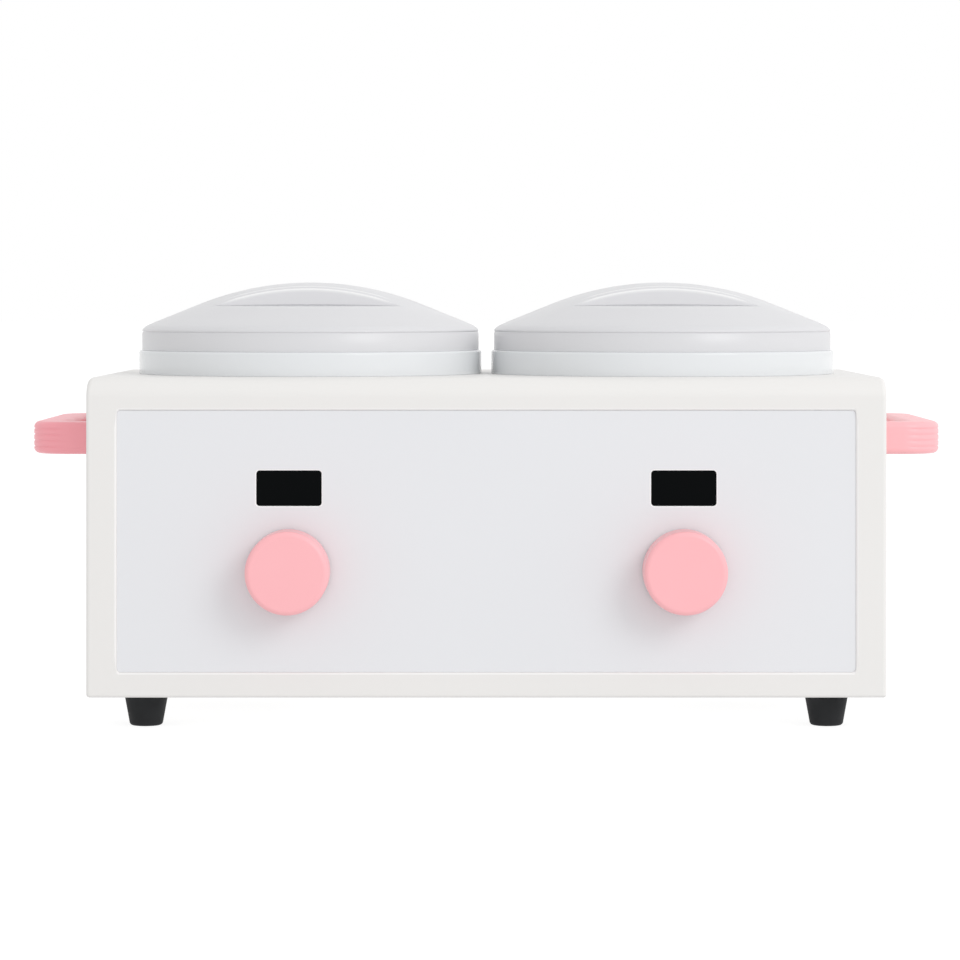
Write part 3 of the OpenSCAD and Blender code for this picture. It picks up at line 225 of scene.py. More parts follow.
def noise(tree, scale, detail, places):
    """A cloudy pattern between nought and one."""
    cloud = tree.nodes.new("ShaderNodeTexNoise")
    cloud.inputs["Scale"].default_value = scale
    cloud.inputs["Detail"].default_value = detail
    tree.links.new(places(tree), cloud.inputs["Vector"])
    return cloud.outputs["Fac"]


# %% Add tone, gloss and grain to a finish
# A mix node's colours have numbered sockets: how much, between which two, and what comes out.
AMOUNT, FIRST, SECOND, BLENDED = 0, 6, 7, 2
CLOUD_LOW, CLOUD_HIGH = 0.3, 0.7


def blend(material, amount, other):
    """Blends a finish's colour towards another one."""
    tree, colour = material.node_tree, shader_of(material).inputs["Base Color"]
    blender = tree.nodes.new("ShaderNodeMix")
    blender.data_type = "RGBA"
    blender.inputs[FIRST].default_value = colour.default_value
    blender.inputs[SECOND].default_value = (*other, 1)
    tree.links.new(amount, blender.inputs[AMOUNT])
    if colour.is_linked:
        tree.links.new(colour.links[0].from_socket, blender.inputs[FIRST])
    tree.links.new(blender.outputs[BLENDED], colour)


def tone(material, other, scale, detail=3, places=piece_places):
    """Lets the colour drift between its own and another shade."""
    blend(material, noise(material.node_tree, scale, detail, places), other)


def gloss(material, least, most, scale, detail=2, places=piece_places):
    """Lets the roughness drift between two values."""
    tree = material.node_tree
    drift = tree.nodes.new("ShaderNodeMapRange")
    drift.inputs["From Min"].default_value = CLOUD_LOW
    drift.inputs["From Max"].default_value = CLOUD_HIGH
    drift.inputs["To Min"].default_value = least
    drift.inputs["To Max"].default_value = most
    tree.links.new(noise(tree, scale, detail, places), drift.inputs["Value"])
    tree.links.new(drift.outputs["Result"], shader_of(material).inputs["Roughness"])


def grain(material, scale, depth, detail=2, places=piece_places):
    """Gives the surface a shallow grain, its depth in metres."""
    tree = material.node_tree
    bump = tree.nodes.new("ShaderNodeBump")
    bump.inputs["Strength"].default_value = 1
    bump.inputs["Distance"].default_value = depth
    tree.links.new(noise(tree, scale, detail, places), bump.inputs["Height"])
    tree.links.new(bump.outputs["Normal"], shader_of(material).inputs["Normal"])


# %% Paint a highlight on the fine edges of a moulding
HIGHLIGHT_VALUE = "painted_highlight_value"


def paint_highlight(material, painted_highlight):
    """Paints a highlight: blends the colour towards a paler one by a value that the piece's mesh
    carries.
    """
    edge = material.node_tree.nodes.new("ShaderNodeAttribute")
    edge.attribute_name = HIGHLIGHT_VALUE
    blend(material, edge.outputs["Fac"], painted_highlight)


# %% [markdown]
# ### Plastics
# The housing and the front panel are satin white, the collars are the same white but polished,
# the lids are frosted and let a little light through, and the knobs and handles are pink. The
# left handle's pink is painted deeper, as painted shade for the shade it stands in. Along the
# lids' beads and round the front panel and its openings, a painted highlight blends the plastic
# towards white.

# %% Read a colour chart and mix a finish
def srgb(*chart):
    """A colour as a paint chart gives it, 0 to 255, turned into the shader's own scale."""
    shares = [value / 255 for value in chart]
    return tuple(share / 12.92 if share <= 0.04045 else ((share + 0.055) / 1.055) ** 2.4
                 for share in shares)


paint = {}


def mix(name, colour, roughness, shade, patches=None, grains=None, painted_highlight=None, **fixed):
    """One finish. Its shade is (red, green, blue, scale), its patches are (least, most, scale)
    and its grains (scale, depth). Each may go on with a detail and with other places."""
    material = finish(name, srgb(*colour), roughness, **fixed)
    tone(material, srgb(*shade[:3]), *shade[3:])
    if patches:
        gloss(material, *patches)
    if grains:
        grain(material, *grains)
    # A painted highlight: where the mesh marks an edge, the colour blends towards a paler one.
    if painted_highlight:
        paint_highlight(material, srgb(*painted_highlight))
    paint[name] = material


# %% Mix the plastics
# The last colour given to the housing, panel and lid finishes is a painted highlight for marked
# edges.
mix("housing_white", (236, 234, 232), 0.42, (233, 232, 230, 14), (0.38, 0.46, 30),
    (1400, 0.000004), painted_highlight=(242, 241, 240))
mix("panel_white", (231, 232, 235), 0.5, (229, 230, 233, 12), (0.46, 0.54, 40),
    (2600, 0.000006), painted_highlight=(255, 255, 255))
mix("collar_white", (229, 231, 233), 0.16, (226, 229, 231, 18), (0.13, 0.19, 25))
mix("frosted_plastic", (227, 227, 229), 0.34, (224, 224, 227, 16), (0.3, 0.38, 35),
    (3000, 0.000003), painted_highlight=(255, 255, 255), Transmission_Weight=0.08, IOR=1.49)
mix("pink_plastic", (255, 187, 192), 0.36, (253, 183, 188, 40), (0.32, 0.4, 60),
    (2200, 0.000003))
# A painted shade: the left handle's pink is made deeper to stand for the shade it sits in.
mix("painted_shade_pink_plastic", (254, 168, 177), 0.36, (251, 163, 172, 40), (0.32, 0.4, 60),
    (2200, 0.000003))
mix("display_black", (5, 7, 8), 0.12, (4, 6, 7, 60), (0.1, 0.16, 80), Specular_IOR_Level=0.04)
mix("black_plastic", (30, 30, 32), 0.4, (25, 25, 27, 50), (0.36, 0.46, 60), (2400, 0.00001))
mix("rubber_black", (17, 19, 22), 0.7, (13, 15, 18, 60), (0.64, 0.78, 60), (1800, 0.00002),
    Specular_IOR_Level=0.4)
print("plastics:", sorted(paint))

# %% [markdown]
# ### Metals, boards and wrappings
# The pots and wells are spun on a lathe, so their grain runs in rings round each pot's own axis.
# The other metals are zinc-plated or brass, and the inner parts get plain workshop finishes.

# %% Find the rings that a lathe leaves
def lathe_rings(tree):
    """Places measured from the nearer pot's axis: how far out, and how high."""
    axes = tree.nodes.new("ShaderNodeSeparateXYZ")
    tree.links.new(piece_places(tree), axes.inputs[0])
    beside = calculate(tree, "SUBTRACT", calculate(tree, "ABSOLUTE", axes.outputs["X"]), POT_X)
    before = calculate(tree, "SUBTRACT", axes.outputs["Y"], MID_Y)
    squares = calculate(tree, "MULTIPLY", before, before)
    out = calculate(tree, "SQRT", calculate(tree, "MULTIPLY_ADD", beside, beside, squares))
    rings = tree.nodes.new("ShaderNodeCombineXYZ")
    tree.links.new(out, rings.inputs["X"])
    tree.links.new(axes.outputs["Z"], rings.inputs["Z"])
    return rings.outputs[0]


# %% Mix the metals and the inner finishes
mix("aluminium", (216, 217, 219), 0.26, (203, 204, 207, 420, 4, lathe_rings),
    (0.2, 0.32, 700, 2, lathe_rings), (1000, 0.000003, 2, lathe_rings), Metallic=1)
mix("steel", (200, 202, 205), 0.3, (188, 190, 194, 160), (0.26, 0.38, 200), (2600, 0.000004),
    Metallic=1)
mix("brass", (212, 175, 104), 0.28, (198, 160, 92, 180), (0.24, 0.36, 220), Metallic=1)
mix("silicone", (196, 92, 66), 0.55, (184, 82, 58, 70), (0.5, 0.62, 70), (1500, 0.000008))
mix("insulation", (232, 226, 208), 0.95, (214, 206, 186, 420, 6), grains=(900, 0.0003, 6))
mix("board_green", (38, 104, 62), 0.34, (30, 90, 54, 130), (0.28, 0.42, 150))
mix("transformer", (196, 164, 84), 0.5, (176, 144, 70, 110), (0.42, 0.58, 100), (900, 0.00003))
mix("terminal_green", (58, 122, 78), 0.42, (48, 108, 68, 120), (0.36, 0.48, 120))
print("finishes:", len(paint))

# %% [markdown]
# ## Dress the solids
# A solid whose shape is already right keeps its mesh and gets its finish here. A star in a name
# stands for left and for right.

# %% Give every solid its finish
FINISHES = {
    "housing_white": ["housing_shell", "base_plate"],
    "panel_white": ["front_panel"],
    "collar_white": ["*_collar"],
    "frosted_plastic": ["*_lid"],
    "pink_plastic": ["*_handle", "*_knob"],
    "rubber_black": ["front_*_foot", "rear_*_foot"],
    "display_black": ["*_display_window"],
    "black_plastic": [
        "*_display_module", "power_inlet", "switch_frame", "switch_rocker", "relays"],
    "aluminium": ["*_pot", "*_well"],
    "brass": ["inlet_pins", "*_encoder_rotor"],
    "silicone": ["*_gasket", "*_heater_band"],
    "insulation": ["*_insulation"],
    "board_green": ["*_control_board", "power_board"],
    "transformer": ["transformer"],
    "terminal_green": ["terminal_block"],
}


def dress(solid, material):
    if not solid.material_slots:
        solid.data.materials.append(material)
    for place in solid.material_slots:
        place.material = material


dressed = {name.replace("*", hand): slot
           for slot, names in FINISHES.items() for name in names for hand in SIDES}
for node, solid in nodes.items():
    dress(solid, paint[dressed.get(node, "steel")])
print("dressed:", len(dressed), "others are steel")

# %% [markdown]
# ## Working as at a bench
# Each new piece starts from a simple shape. Its corners, edges or faces are picked by where they
# lie, and an edit-mode tool pushes, bevels or spins them. A mesh could also be filled straight
# from a list of numbers, but then nobody would see how the shape came about.

# %% Hold and pick
def clear():
    """Leaves edit mode and holds nothing."""
    if bpy.context.mode != "OBJECT":
        bpy.ops.object.mode_set(mode="OBJECT")
    bpy.ops.object.select_all(action="DESELECT")


def take(piece):
    """Holds one piece alone."""
    clear()
    piece.select_set(True)
    bpy.context.view_layer.objects.active = piece


def edit(piece):
    """Opens one piece in edit mode."""
    take(piece)
    bpy.ops.object.mode_set(mode="EDIT")


def pick(piece, kind, test):
    """Selects the corners (VERT), edges (EDGE) or faces (FACE) that pass a test."""
    bpy.ops.mesh.select_mode(type=kind)
    bpy.ops.mesh.select_all(action="DESELECT")
    mesh = bmesh.from_edit_mesh(piece.data)
    items = {"VERT": mesh.verts, "EDGE": mesh.edges, "FACE": mesh.faces}[kind]
    chosen = [item for item in items if test(item)]
    for item in chosen:
        item.select_set(True)
    mesh.select_flush_mode()
    bmesh.update_edit_mesh(piece.data)
    return len(chosen)


def pick_all():
    bpy.ops.mesh.select_all(action="SELECT")


def pull(x, y, z=0):
    """Extrudes what is selected."""
    bpy.ops.mesh.extrude_region_move(TRANSFORM_OT_translate={"value": (x, y, z)})


def round_off(radius, segments, affect="EDGES"):
    """Bevels what is selected to a radius."""
    bpy.ops.mesh.bevel(offset=radius, segments=segments, affect=affect)


def near(value, target, slack=0.02 * MM):
    return abs(value - target) < slack


def spot(item):
    """The middle of an edge or a face."""
    return sum((corner.co for corner in item.verts), Vector()) / len(item.verts)


def runs_along(edge, axis):
    """Whether an edge lies along the x, y or z axis, given as 0, 1 or 2."""
    span = edge.verts[1].co - edge.verts[0].co
    return abs(span[axis]) > 0.99 * span.length


# %% Start, finish and hand over a piece
def settle():
    """Puts the place, turn and size of what is held into its mesh."""
    bpy.ops.object.transform_apply(location=True, rotation=True, scale=True)


def add_block(name, low, high):
    """A block between two corners, with its object left at the origin."""
    clear()
    low, high = Vector(low), Vector(high)
    bpy.ops.mesh.primitive_cube_add(size=1, location=(low + high) / 2, scale=high - low)
    block = bpy.context.active_object
    block.name = block.data.name = name
    settle()
    return block


def add_rounded(name, low, high, radius, segments):
    """A block with its four edges along y rounded."""
    block = add_block(name, low, high)
    edit(block)
    pick(block, "EDGE", lambda edge: runs_along(edge, 1))
    round_off(radius, segments)
    clear()
    return block


def modify(piece, kind, **settings):
    """Adds one modifier with its settings and applies it."""
    take(piece)
    tool = piece.modifiers.new(kind, kind)
    for setting, value in settings.items():
        setattr(tool, setting, value)
    bpy.ops.object.modifier_apply(modifier=tool.name)


def cut(piece, *cutters):
    """Cuts other shapes out of a piece and throws them away."""
    for cutter in cutters:
        modify(piece, "BOOLEAN", object=cutter, operation="DIFFERENCE", solver="EXACT")
        bpy.data.objects.remove(cutter, do_unlink=True)


def smooth(piece, angle, flat_faces=False):
    """Smooth shading that keeps edges crisp past an angle, and flat faces flat if asked."""
    take(piece)
    bpy.ops.object.shade_smooth_by_angle(angle=math.radians(angle))
    if flat_faces:
        modify(piece, "WEIGHTED_NORMAL", keep_sharp=True)


def copy_over(piece, name, shift):
    """A second piece with its own mesh, a distance away."""
    take(piece)
    bpy.ops.object.duplicate(linked=False)
    twin = bpy.context.active_object
    twin.name = twin.data.name = name
    bpy.ops.transform.translate(value=shift)
    settle()
    return twin


def hand_over(piece, body, slot, *stands_for, shade=None):
    """Gives a piece its finish and its body, and hides the solids that it stands for."""
    piece.data.materials.clear()
    piece.data.materials.append(paint[shade or slot])
    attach(piece, body)
    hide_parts(*stands_for)
    piece.data.update()
    print(f"{piece.name}: {len(piece.data.polygons)} faces on {body}")


def hand_over_pair(piece, body, slot, node, apart):
    """Copies a right piece to the left, that far away, and hands both over."""
    twin = copy_over(piece, piece.name.replace("right", "left"), (-apart, 0, 0))
    hand_over(piece, body, slot, node)
    hand_over(twin, body.replace("right", "left"), slot, node.replace("right", "left"))


# %% [markdown]
# ### A lathe
# Pots, collars, knobs and feet are round. Half of the section is drawn point by point, by pulling
# a new corner out of the last one, and the line is then spun a full turn about its axis.

# %% Draw a section and spin it
def arc(centre, radius, start, end, steps):
    """Points on an arc as (out, along) pairs. Angles are in degrees from the outward direction."""
    angles = [math.radians(start + (end - start) * step / steps) for step in range(steps + 1)]
    return [(centre[0] + radius * math.cos(angle), centre[1] + radius * math.sin(angle))
            for angle in angles]


def turn(name, section, centre, along=(0, 0, 1), steps=128):
    """Spins a section of (out, along) points, in millimetres, round an axis."""
    centre, along, out = Vector(centre), Vector(along), Vector((1, 0, 0))
    points = [centre + (out * reach + along * rise) * MM for reach, rise in section]
    clear()
    bpy.ops.mesh.primitive_plane_add(size=MM)
    piece = bpy.context.active_object
    piece.name = piece.data.name = name
    bpy.ops.object.mode_set(mode="EDIT")
    bpy.ops.mesh.select_mode(type="VERT")
    pick_all()
    bpy.ops.mesh.merge(type="CENTER")
    bpy.ops.transform.translate(value=points[0])
    for before, after in zip(points, points[1:]):
        bpy.ops.mesh.extrude_vertices_move(TRANSFORM_OT_translate={"value": after - before})
    pick_all()
    bpy.ops.mesh.spin(steps=steps, angle=2 * math.pi, center=centre, axis=along)
    pick_all()
    bpy.ops.mesh.remove_doubles(threshold=0.005 * MM)
    bpy.ops.mesh.normals_make_consistent(inside=False)
    clear()
    return piece


# %% [markdown]
# ## Lids
# A lid is one thin moulding: a dome with a grip bar left standing between two finger shelves, a
# turned shoulder and a straight band. Cutting the shelves with a block would leave hard edges
# that a bevel can't follow, so the middle is a grid whose heights come from two rules, blended
# where they cross. The grid's rows bend with the grip's crest, so that a fine bead can run along
# it, with a second one behind, and a fine groove along its foot. From there the rim is pulled out
# ring by ring, with one more groove under the shoulder, and the wall gets its thickness.

# %% Measure a lid
lid_low, lid_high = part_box("right_lid")
LID_R = (lid_high.x - lid_low.x) / 2
LID_FOOT, LID_TOP = lid_low.z, lid_high.z
LID_WALL = 2 * MM
CROWN_R = 153 * MM
DOME_SLOPE = math.radians(22)
SHOULDER_R = 10 * MM
SHOULDER_END = math.radians(50)
MIDDLE_R = 66 * MM
GRIP_HALF = 36 * MM
SHELF_DROP = 11.9 * MM
SHELF_FALL = math.tan(math.radians(1))
GRIP_LEAN = math.radians(25)
GRIP_RISE = 1 / math.tan(GRIP_LEAN)
CREST_ROUND, FOOT_ROUND = 1 * MM, 0.3 * MM

crown_z = LID_TOP - CROWN_R
crown_x = CROWN_R * math.sin(DOME_SLOPE)
shoulder_x = LID_R - SHOULDER_R * math.sin(SHOULDER_END)
slope_x = shoulder_x + SHOULDER_R * math.sin(DOME_SLOPE)
slope_z = crown_z + CROWN_R * math.cos(DOME_SLOPE) - (slope_x - crown_x) * math.tan(DOME_SLOPE)
shoulder_z = slope_z - SHOULDER_R * math.cos(DOME_SLOPE)
print(f"lid radius {LID_R:.4f}, shoulder at {shoulder_z:.4f}, foot at {LID_FOOT:.4f}")


# %% Rules for a lid's height
def lower_of(first, second, width):
    """The lower of two heights, rounded over where they cross."""
    near_by = max(width - abs(first - second), 0) / width
    return min(first, second) - near_by ** 2 * width / 4


def dome_height(out, inset=0):
    """A ball in the middle and a straight slope outside it, or their inner face."""
    ball_r = CROWN_R - inset
    if out < ball_r * math.sin(DOME_SLOPE):
        return crown_z + math.sqrt(ball_r ** 2 - out ** 2)
    return slope_z + (slope_x - out) * math.tan(DOME_SLOPE) - inset / math.cos(DOME_SLOPE)


def lid_height(x, y, inset=0):
    """The dome, cut down to a shelf and a leaning wall beyond the grip bar."""
    beyond = abs(y) - GRIP_HALF
    shelf = LID_TOP - SHELF_DROP - beyond * SHELF_FALL - inset
    wall = LID_TOP - SHELF_DROP - beyond * GRIP_RISE - inset / math.sin(GRIP_LEAN)
    recess = -lower_of(-shelf, -wall, FOOT_ROUND)
    return lower_of(dome_height(math.hypot(x, y), inset), recess, CREST_ROUND)


# %% Rows that follow the grip's crest
END_ROOM, RIM_ROOM = 0.8 * MM, 4 * MM
RIM_FROM, RIM_RUN = 48 * MM, 6 * MM
BORDER = 7.5 * MM


def ease(share):
    """From nought to one, with a soft start and a soft end."""
    share = min(max(share, 0), 1)
    return share * share * (3 - 2 * share)


def wall_room(x):
    """How deep the grip's wall is at one place along it, from its crest to its foot."""
    bottom_r = CROWN_R - SHELF_DROP
    squared = 1 + GRIP_RISE ** 2
    plain = GRIP_RISE * bottom_r - GRIP_HALF
    rest = bottom_r ** 2 + x ** 2 + GRIP_HALF ** 2 - CROWN_R ** 2
    room = (math.sqrt(plain ** 2 - squared * rest) - plain) / squared if rest < 0 else 0
    past_end = ease((abs(x) - RIM_FROM) / RIM_RUN)
    return max(room, END_ROOM + (RIM_ROOM - END_ROOM) * past_end)


def row_place(row, x):
    """Where a row lies at one place along it, out from the lid's middle line."""
    kind, amount = row
    crest = GRIP_HALF - wall_room(x)
    places = {"top": amount * (crest - BORDER), "border": crest + amount,
              "wall": crest + amount * wall_room(x), "shelf": GRIP_HALF + amount}
    return places[kind]


def spread(first, last, steps):
    return [first + (last - first) * step / steps for step in range(steps)]


# Each zone of rows has its kind, its first and last place, and its steps. They lie closest where
# a bead, a groove or a rounding needs them.
BEADS_APART, FIRST_BEAD_ZONE = 4.5 * MM, 1 * MM
ROUND_SHARE, GROOVE_FROM = 0.1, 0.84
ZONES = [
    ("top", 0, 1, 8), ("border", -BORDER, -BEADS_APART, 12),
    ("border", -BEADS_APART, -FIRST_BEAD_ZONE, 4), ("border", -FIRST_BEAD_ZONE, 0, 10),
    ("wall", 0, ROUND_SHARE, 6), ("wall", ROUND_SHARE, GROOVE_FROM, 8),
    ("wall", GROOVE_FROM, 1, 16),
]
NEAR_FOOT = (0, 0.1, 0.2, 0.4, 0.8, 1.6)
SHELF_ANGLES = range(36, 91, 3)
rows = [(kind, place) for kind, first, last, steps in ZONES for place in spread(first, last, steps)]
rows += [("shelf", out * MM) for out in NEAR_FOOT]
rows += [("shelf", MIDDLE_R * math.sin(math.radians(angle)) - GRIP_HALF) for angle in SHELF_ANGLES]
print(f"grip crest {GRIP_HALF - wall_room(0):.4f} out from the middle, {len(rows)} rows a side")

# %% Form the middle of a lid
COLUMNS = 120
BEAD, BEAD_HALF = 0.45 * MM, 0.4 * MM
SECOND_BEAD, SECOND_HALF, SECOND_AT = 0.35 * MM, 0.6 * MM, 6 * MM
GROOVE_SHARE, GROOVE_SPREAD, GROOVE_CUT = 0.97, 0.03, 0.7 * MM
BEAD_END, BEAD_FADE = 46 * MM, 12 * MM


def hump(distance, half):
    """One at no distance, fading to nought on both sides."""
    return math.exp(-(distance / half) ** 2)


def lid_corner(row, x, side):
    """One corner of the grid with its beads and groove, and how strong a painted highlight it gets.
    """
    out = row_place(row, x)
    room = wall_room(x)
    from_crest = out - GRIP_HALF + room
    strength = ease((BEAD_END - abs(x)) / BEAD_FADE)
    first = strength * hump(from_crest, BEAD_HALF)
    second = strength * hump(from_crest + SECOND_AT, SECOND_HALF)
    height = lid_height(x, out) + BEAD * first + SECOND_BEAD * second
    if abs(x) < BEAD_END:
        groove = hump(from_crest / room - GROOVE_SHARE, GROOVE_SPREAD)
        out -= GROOVE_CUT * room / wall_room(0) * groove
    return (POT_X + x, MID_Y + side * out, height), max(first, second)


both_sides = [(row, -1) for row in reversed(rows[1:])] + [(row, 1) for row in rows]
clear()
bpy.ops.mesh.primitive_grid_add(x_subdivisions=COLUMNS, y_subdivisions=len(both_sides) - 1, size=1)
right_lid = bpy.context.active_object
right_lid.name = right_lid.data.name = "frosted_lid_right"
# Each corner also carries how strongly its bead gets a painted highlight, which blends the lid
# towards white.
bead_highlight_values = right_lid.data.attributes.new(HIGHLIGHT_VALUE, "FLOAT", "POINT").data
for index, corner in enumerate(right_lid.data.vertices):
    (row, side), column = both_sides[index // (COLUMNS + 1)], index % (COLUMNS + 1)
    end_place = row_place(row, MIDDLE_R)
    reach = math.sqrt(max(MIDDLE_R ** 2 - end_place ** 2, 0))
    corner.co, bead_highlight_values[index].value = lid_corner(row, reach * (2 * column / COLUMNS - 1), side)
print("lid middle:", len(right_lid.data.vertices), "corners in", len(both_sides), "rows")

# %% Pull out the rim, ring by ring
EDGE_ROUND = 1.2 * MM
FOOT_EDGE = 0.15 * MM
SLOPE_RINGS = (70, 74, 78)
SHOULDER_FROM, SHOULDER_STOP = 27, 47
GROOVE_HALF, GROOVE_IN = 0.6 * MM, 0.45 * MM

edge_drop = EDGE_ROUND * math.tan((math.pi / 2 - SHOULDER_END) / 2)
rim_z = shoulder_z + SHOULDER_R * math.cos(SHOULDER_END) - edge_drop
rings = [(out * MM, dome_height(out * MM)) for out in SLOPE_RINGS]
rings += [(slope_x, slope_z)]
rings += arc((shoulder_x, shoulder_z), SHOULDER_R, 90 - SHOULDER_FROM, 90 - SHOULDER_STOP, 5)
rings += arc((LID_R - EDGE_ROUND, rim_z), EDGE_ROUND, 90 - math.degrees(SHOULDER_END), 0, 5)
rings += [(LID_R - GROOVE_IN, rim_z - GROOVE_HALF), (LID_R, rim_z - 2 * GROOVE_HALF)]
rings += arc((LID_R - FOOT_EDGE, LID_FOOT + FOOT_EDGE), FOOT_EDGE, 0, -90, 4)

edit(right_lid)
pick_all()
bpy.ops.mesh.remove_doubles(threshold=0.002 * MM)
pick(right_lid, "EDGE", lambda edge: edge.is_boundary)
out, height = MIDDLE_R, dome_height(MIDDLE_R)
for ring_out, ring_height in rings:
    pull(0, 0, ring_height - height)
    grow = ring_out / out
    bpy.ops.transform.resize(value=(grow, grow, 1), center_override=(POT_X, MID_Y, 0))
    out, height = ring_out, ring_height
clear()
outer_count = len(right_lid.data.vertices)
modify(right_lid, "SOLIDIFY", thickness=LID_WALL, offset=-1, use_even_offset=True)

# %% Draw the inner face without beads
RIM_SLACK = 0.1 * MM
draw_in = 1 - LID_WALL * math.sin(DOME_SLOPE) / MIDDLE_R
corners = right_lid.data.vertices
for outer, inner in zip(corners[:outer_count], corners[outer_count:]):
    x, y = outer.co.x - POT_X, outer.co.y - MID_Y
    if math.hypot(x, y) < MIDDLE_R + RIM_SLACK:
        x, y = x * draw_in, y * draw_in
        inner.co = (POT_X + x, MID_Y + y, lid_height(x, y, LID_WALL))
smooth(right_lid, 40)
hand_over_pair(right_lid, "right_lid", "frosted_plastic", "right_lid", 2 * POT_X)

# %% [markdown]
# ## Collars
# A collar is a glossy trim ring. Its rim centres the lid, a funnel leads down to the pot's seat,
# and two scoops at its sides let fingers under the pot's flange. The ring is turned on the lathe
# and the scoops are then cut straight down.

# %% Turn a collar
COLLAR_R = 88
COLLAR_H = (LID_FOOT - TOP) / MM
LIP_TOP = (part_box("right_collar")[1].z - TOP) / MM
LIP_IN, LIP_OUT = 82.1, 83.9
WELL_ROOM_R, WELL_ROOM_H = 71.35, 2.5
COLLAR_BORE_R, SEAT_R, SEAT_Z, SEAT_WALL = 63, 69, 6, 1.5
COLLAR_EDGE, LIP_EDGE, BORE_EDGE, HEEL_EDGE = 1.2, 0.6, 0.4, 0.3
collar_section = [(WELL_ROOM_R, 0), (WELL_ROOM_R, WELL_ROOM_H), (COLLAR_BORE_R, WELL_ROOM_H)]
collar_section += [(COLLAR_BORE_R, SEAT_Z - BORE_EDGE), (COLLAR_BORE_R + BORE_EDGE, SEAT_Z)]
collar_section += [(SEAT_R, SEAT_Z), (SEAT_R, SEAT_Z + SEAT_WALL), (LIP_IN, COLLAR_H)]
collar_section += arc((LIP_IN + LIP_EDGE, LIP_TOP - LIP_EDGE), LIP_EDGE, 180, 90, 4)
collar_section += arc((LIP_OUT - LIP_EDGE, LIP_TOP - LIP_EDGE), LIP_EDGE, 90, 0, 4)
collar_section += [(LIP_OUT, COLLAR_H)]
collar_section += arc((COLLAR_R - COLLAR_EDGE, COLLAR_H - COLLAR_EDGE), COLLAR_EDGE, 90, 0, 6)
collar_section += arc((COLLAR_R - HEEL_EDGE, HEEL_EDGE), HEEL_EDGE, 0, -90, 3)
collar_section += [(WELL_ROOM_R, 0)]
right_collar = turn("trim_collar_right", collar_section, (POT_X, MID_Y, TOP), steps=160)
print("collar section:", len(collar_section), "points")

# %% Cut the finger scoops
SCOOP_R, SCOOP_EDGE, SCOOP_H = 9, 1, 20
SCOOP_AT, SCOOP_FLOOR = 70, 3.7
scoop_section = [(0, 0)]
scoop_section += arc((SCOOP_R - SCOOP_EDGE, SCOOP_EDGE), SCOOP_EDGE, -90, 0, 5)
scoop_section += [(SCOOP_R, SCOOP_H), (0, SCOOP_H)]
for side in SIDES.values():
    place = (POT_X + side * SCOOP_AT * MM, MID_Y, TOP + SCOOP_FLOOR * MM)
    cut(right_collar, turn("scoop", scoop_section, place, steps=48))
smooth(right_collar, 35)
hand_over_pair(right_collar, "base", "collar_white", "right_collar", 2 * POT_X)

# %% [markdown]
# ## Pots
# A pot is a thin aluminium cup that was pressed and then spun, so its foot is round, its flange
# is thin and its edge is rolled into a bead that hides the sharp rim.

# %% Turn a pot
POT_WALL = 1.2
POT_R = 60.7
POT_FLOOR = -52
POT_BOTTOM_R = 7
BEAD_AT, BEAD_Z, BEAD_R = 67.3, 7.4, 1.1
FLANGE_Z, MOUTH_EDGE, NECK_EDGE = 7.2, 1, 0.4
inside = POT_R - POT_WALL
inside_round = POT_BOTTOM_R - POT_WALL
pot_section = [(0, POT_FLOOR + POT_WALL)]
pot_section += arc((inside - inside_round, POT_FLOOR + POT_BOTTOM_R), inside_round, -90, 0, 10)
pot_section += arc((inside + MOUTH_EDGE, FLANGE_Z - MOUTH_EDGE), MOUTH_EDGE, 180, 90, 5)
pot_section += arc((BEAD_AT, BEAD_Z), BEAD_R, 190, -60, 14)
pot_section += [(BEAD_AT, FLANGE_Z - POT_WALL), (POT_R + NECK_EDGE, FLANGE_Z - POT_WALL)]
pot_section += [(POT_R, FLANGE_Z - POT_WALL - NECK_EDGE)]
pot_section += arc((POT_R - POT_BOTTOM_R, POT_FLOOR + POT_BOTTOM_R), POT_BOTTOM_R, 0, -90, 12)
pot_section += [(0, POT_FLOOR)]
right_pot = turn("wax_pot_right", pot_section, (POT_X, MID_Y, TOP), steps=160)
smooth(right_pot, 40)
hand_over_pair(right_pot, "right_pot", "aluminium", "right_pot", 2 * POT_X)

# %% [markdown]
# ## Knobs
# A knob is a moulded cup with a hub in its middle that grips the shaft. Its face is flat, and the
# edge round it is soft, which catches the lamp as a pale crescent.

# %% Turn a knob
KNOB_R, KNOB_LEN, KNOB_GAP = 20.25, 21, 1.5
KNOB_EDGE, KNOB_HEEL = 2.6, 0.4
KNOB_WALL, FACE_T, HUB_R, SHAFT_R = 2.4, 3, 6.5, 3.05
HUB_FOOT, SHAFT_END = 4.5, 16.5
PANEL_IN = 1 * MM
PANEL_FACE = FRONT + PANEL_IN
knob_section = [(0, KNOB_LEN)]
knob_section += arc((KNOB_R - KNOB_EDGE, KNOB_LEN - KNOB_EDGE), KNOB_EDGE, 90, 0, 10)
knob_section += arc((KNOB_R - KNOB_HEEL, KNOB_HEEL), KNOB_HEEL, 0, -90, 3)
knob_section += [(KNOB_R - KNOB_WALL, 0), (KNOB_R - KNOB_WALL, KNOB_LEN - FACE_T)]
knob_section += [(HUB_R, KNOB_LEN - FACE_T), (HUB_R, HUB_FOOT), (SHAFT_R, HUB_FOOT)]
knob_section += [(SHAFT_R, SHAFT_END), (0, SHAFT_END)]
knob_place = middle("right_knob")
knob_place.y = PANEL_FACE - KNOB_GAP * MM
right_knob = turn("pink_knob_right", knob_section, knob_place, along=(0, -1, 0), steps=160)
smooth(right_knob, 35, flat_faces=True)
hand_over_pair(right_knob, "right_knob", "pink_plastic", "right_knob", 2 * knob_place.x)

# %% [markdown]
# ## Feet
# Four black rubber cones stand the warmer off the table. Each has a deep hole from below that
# hides the head of its screw.

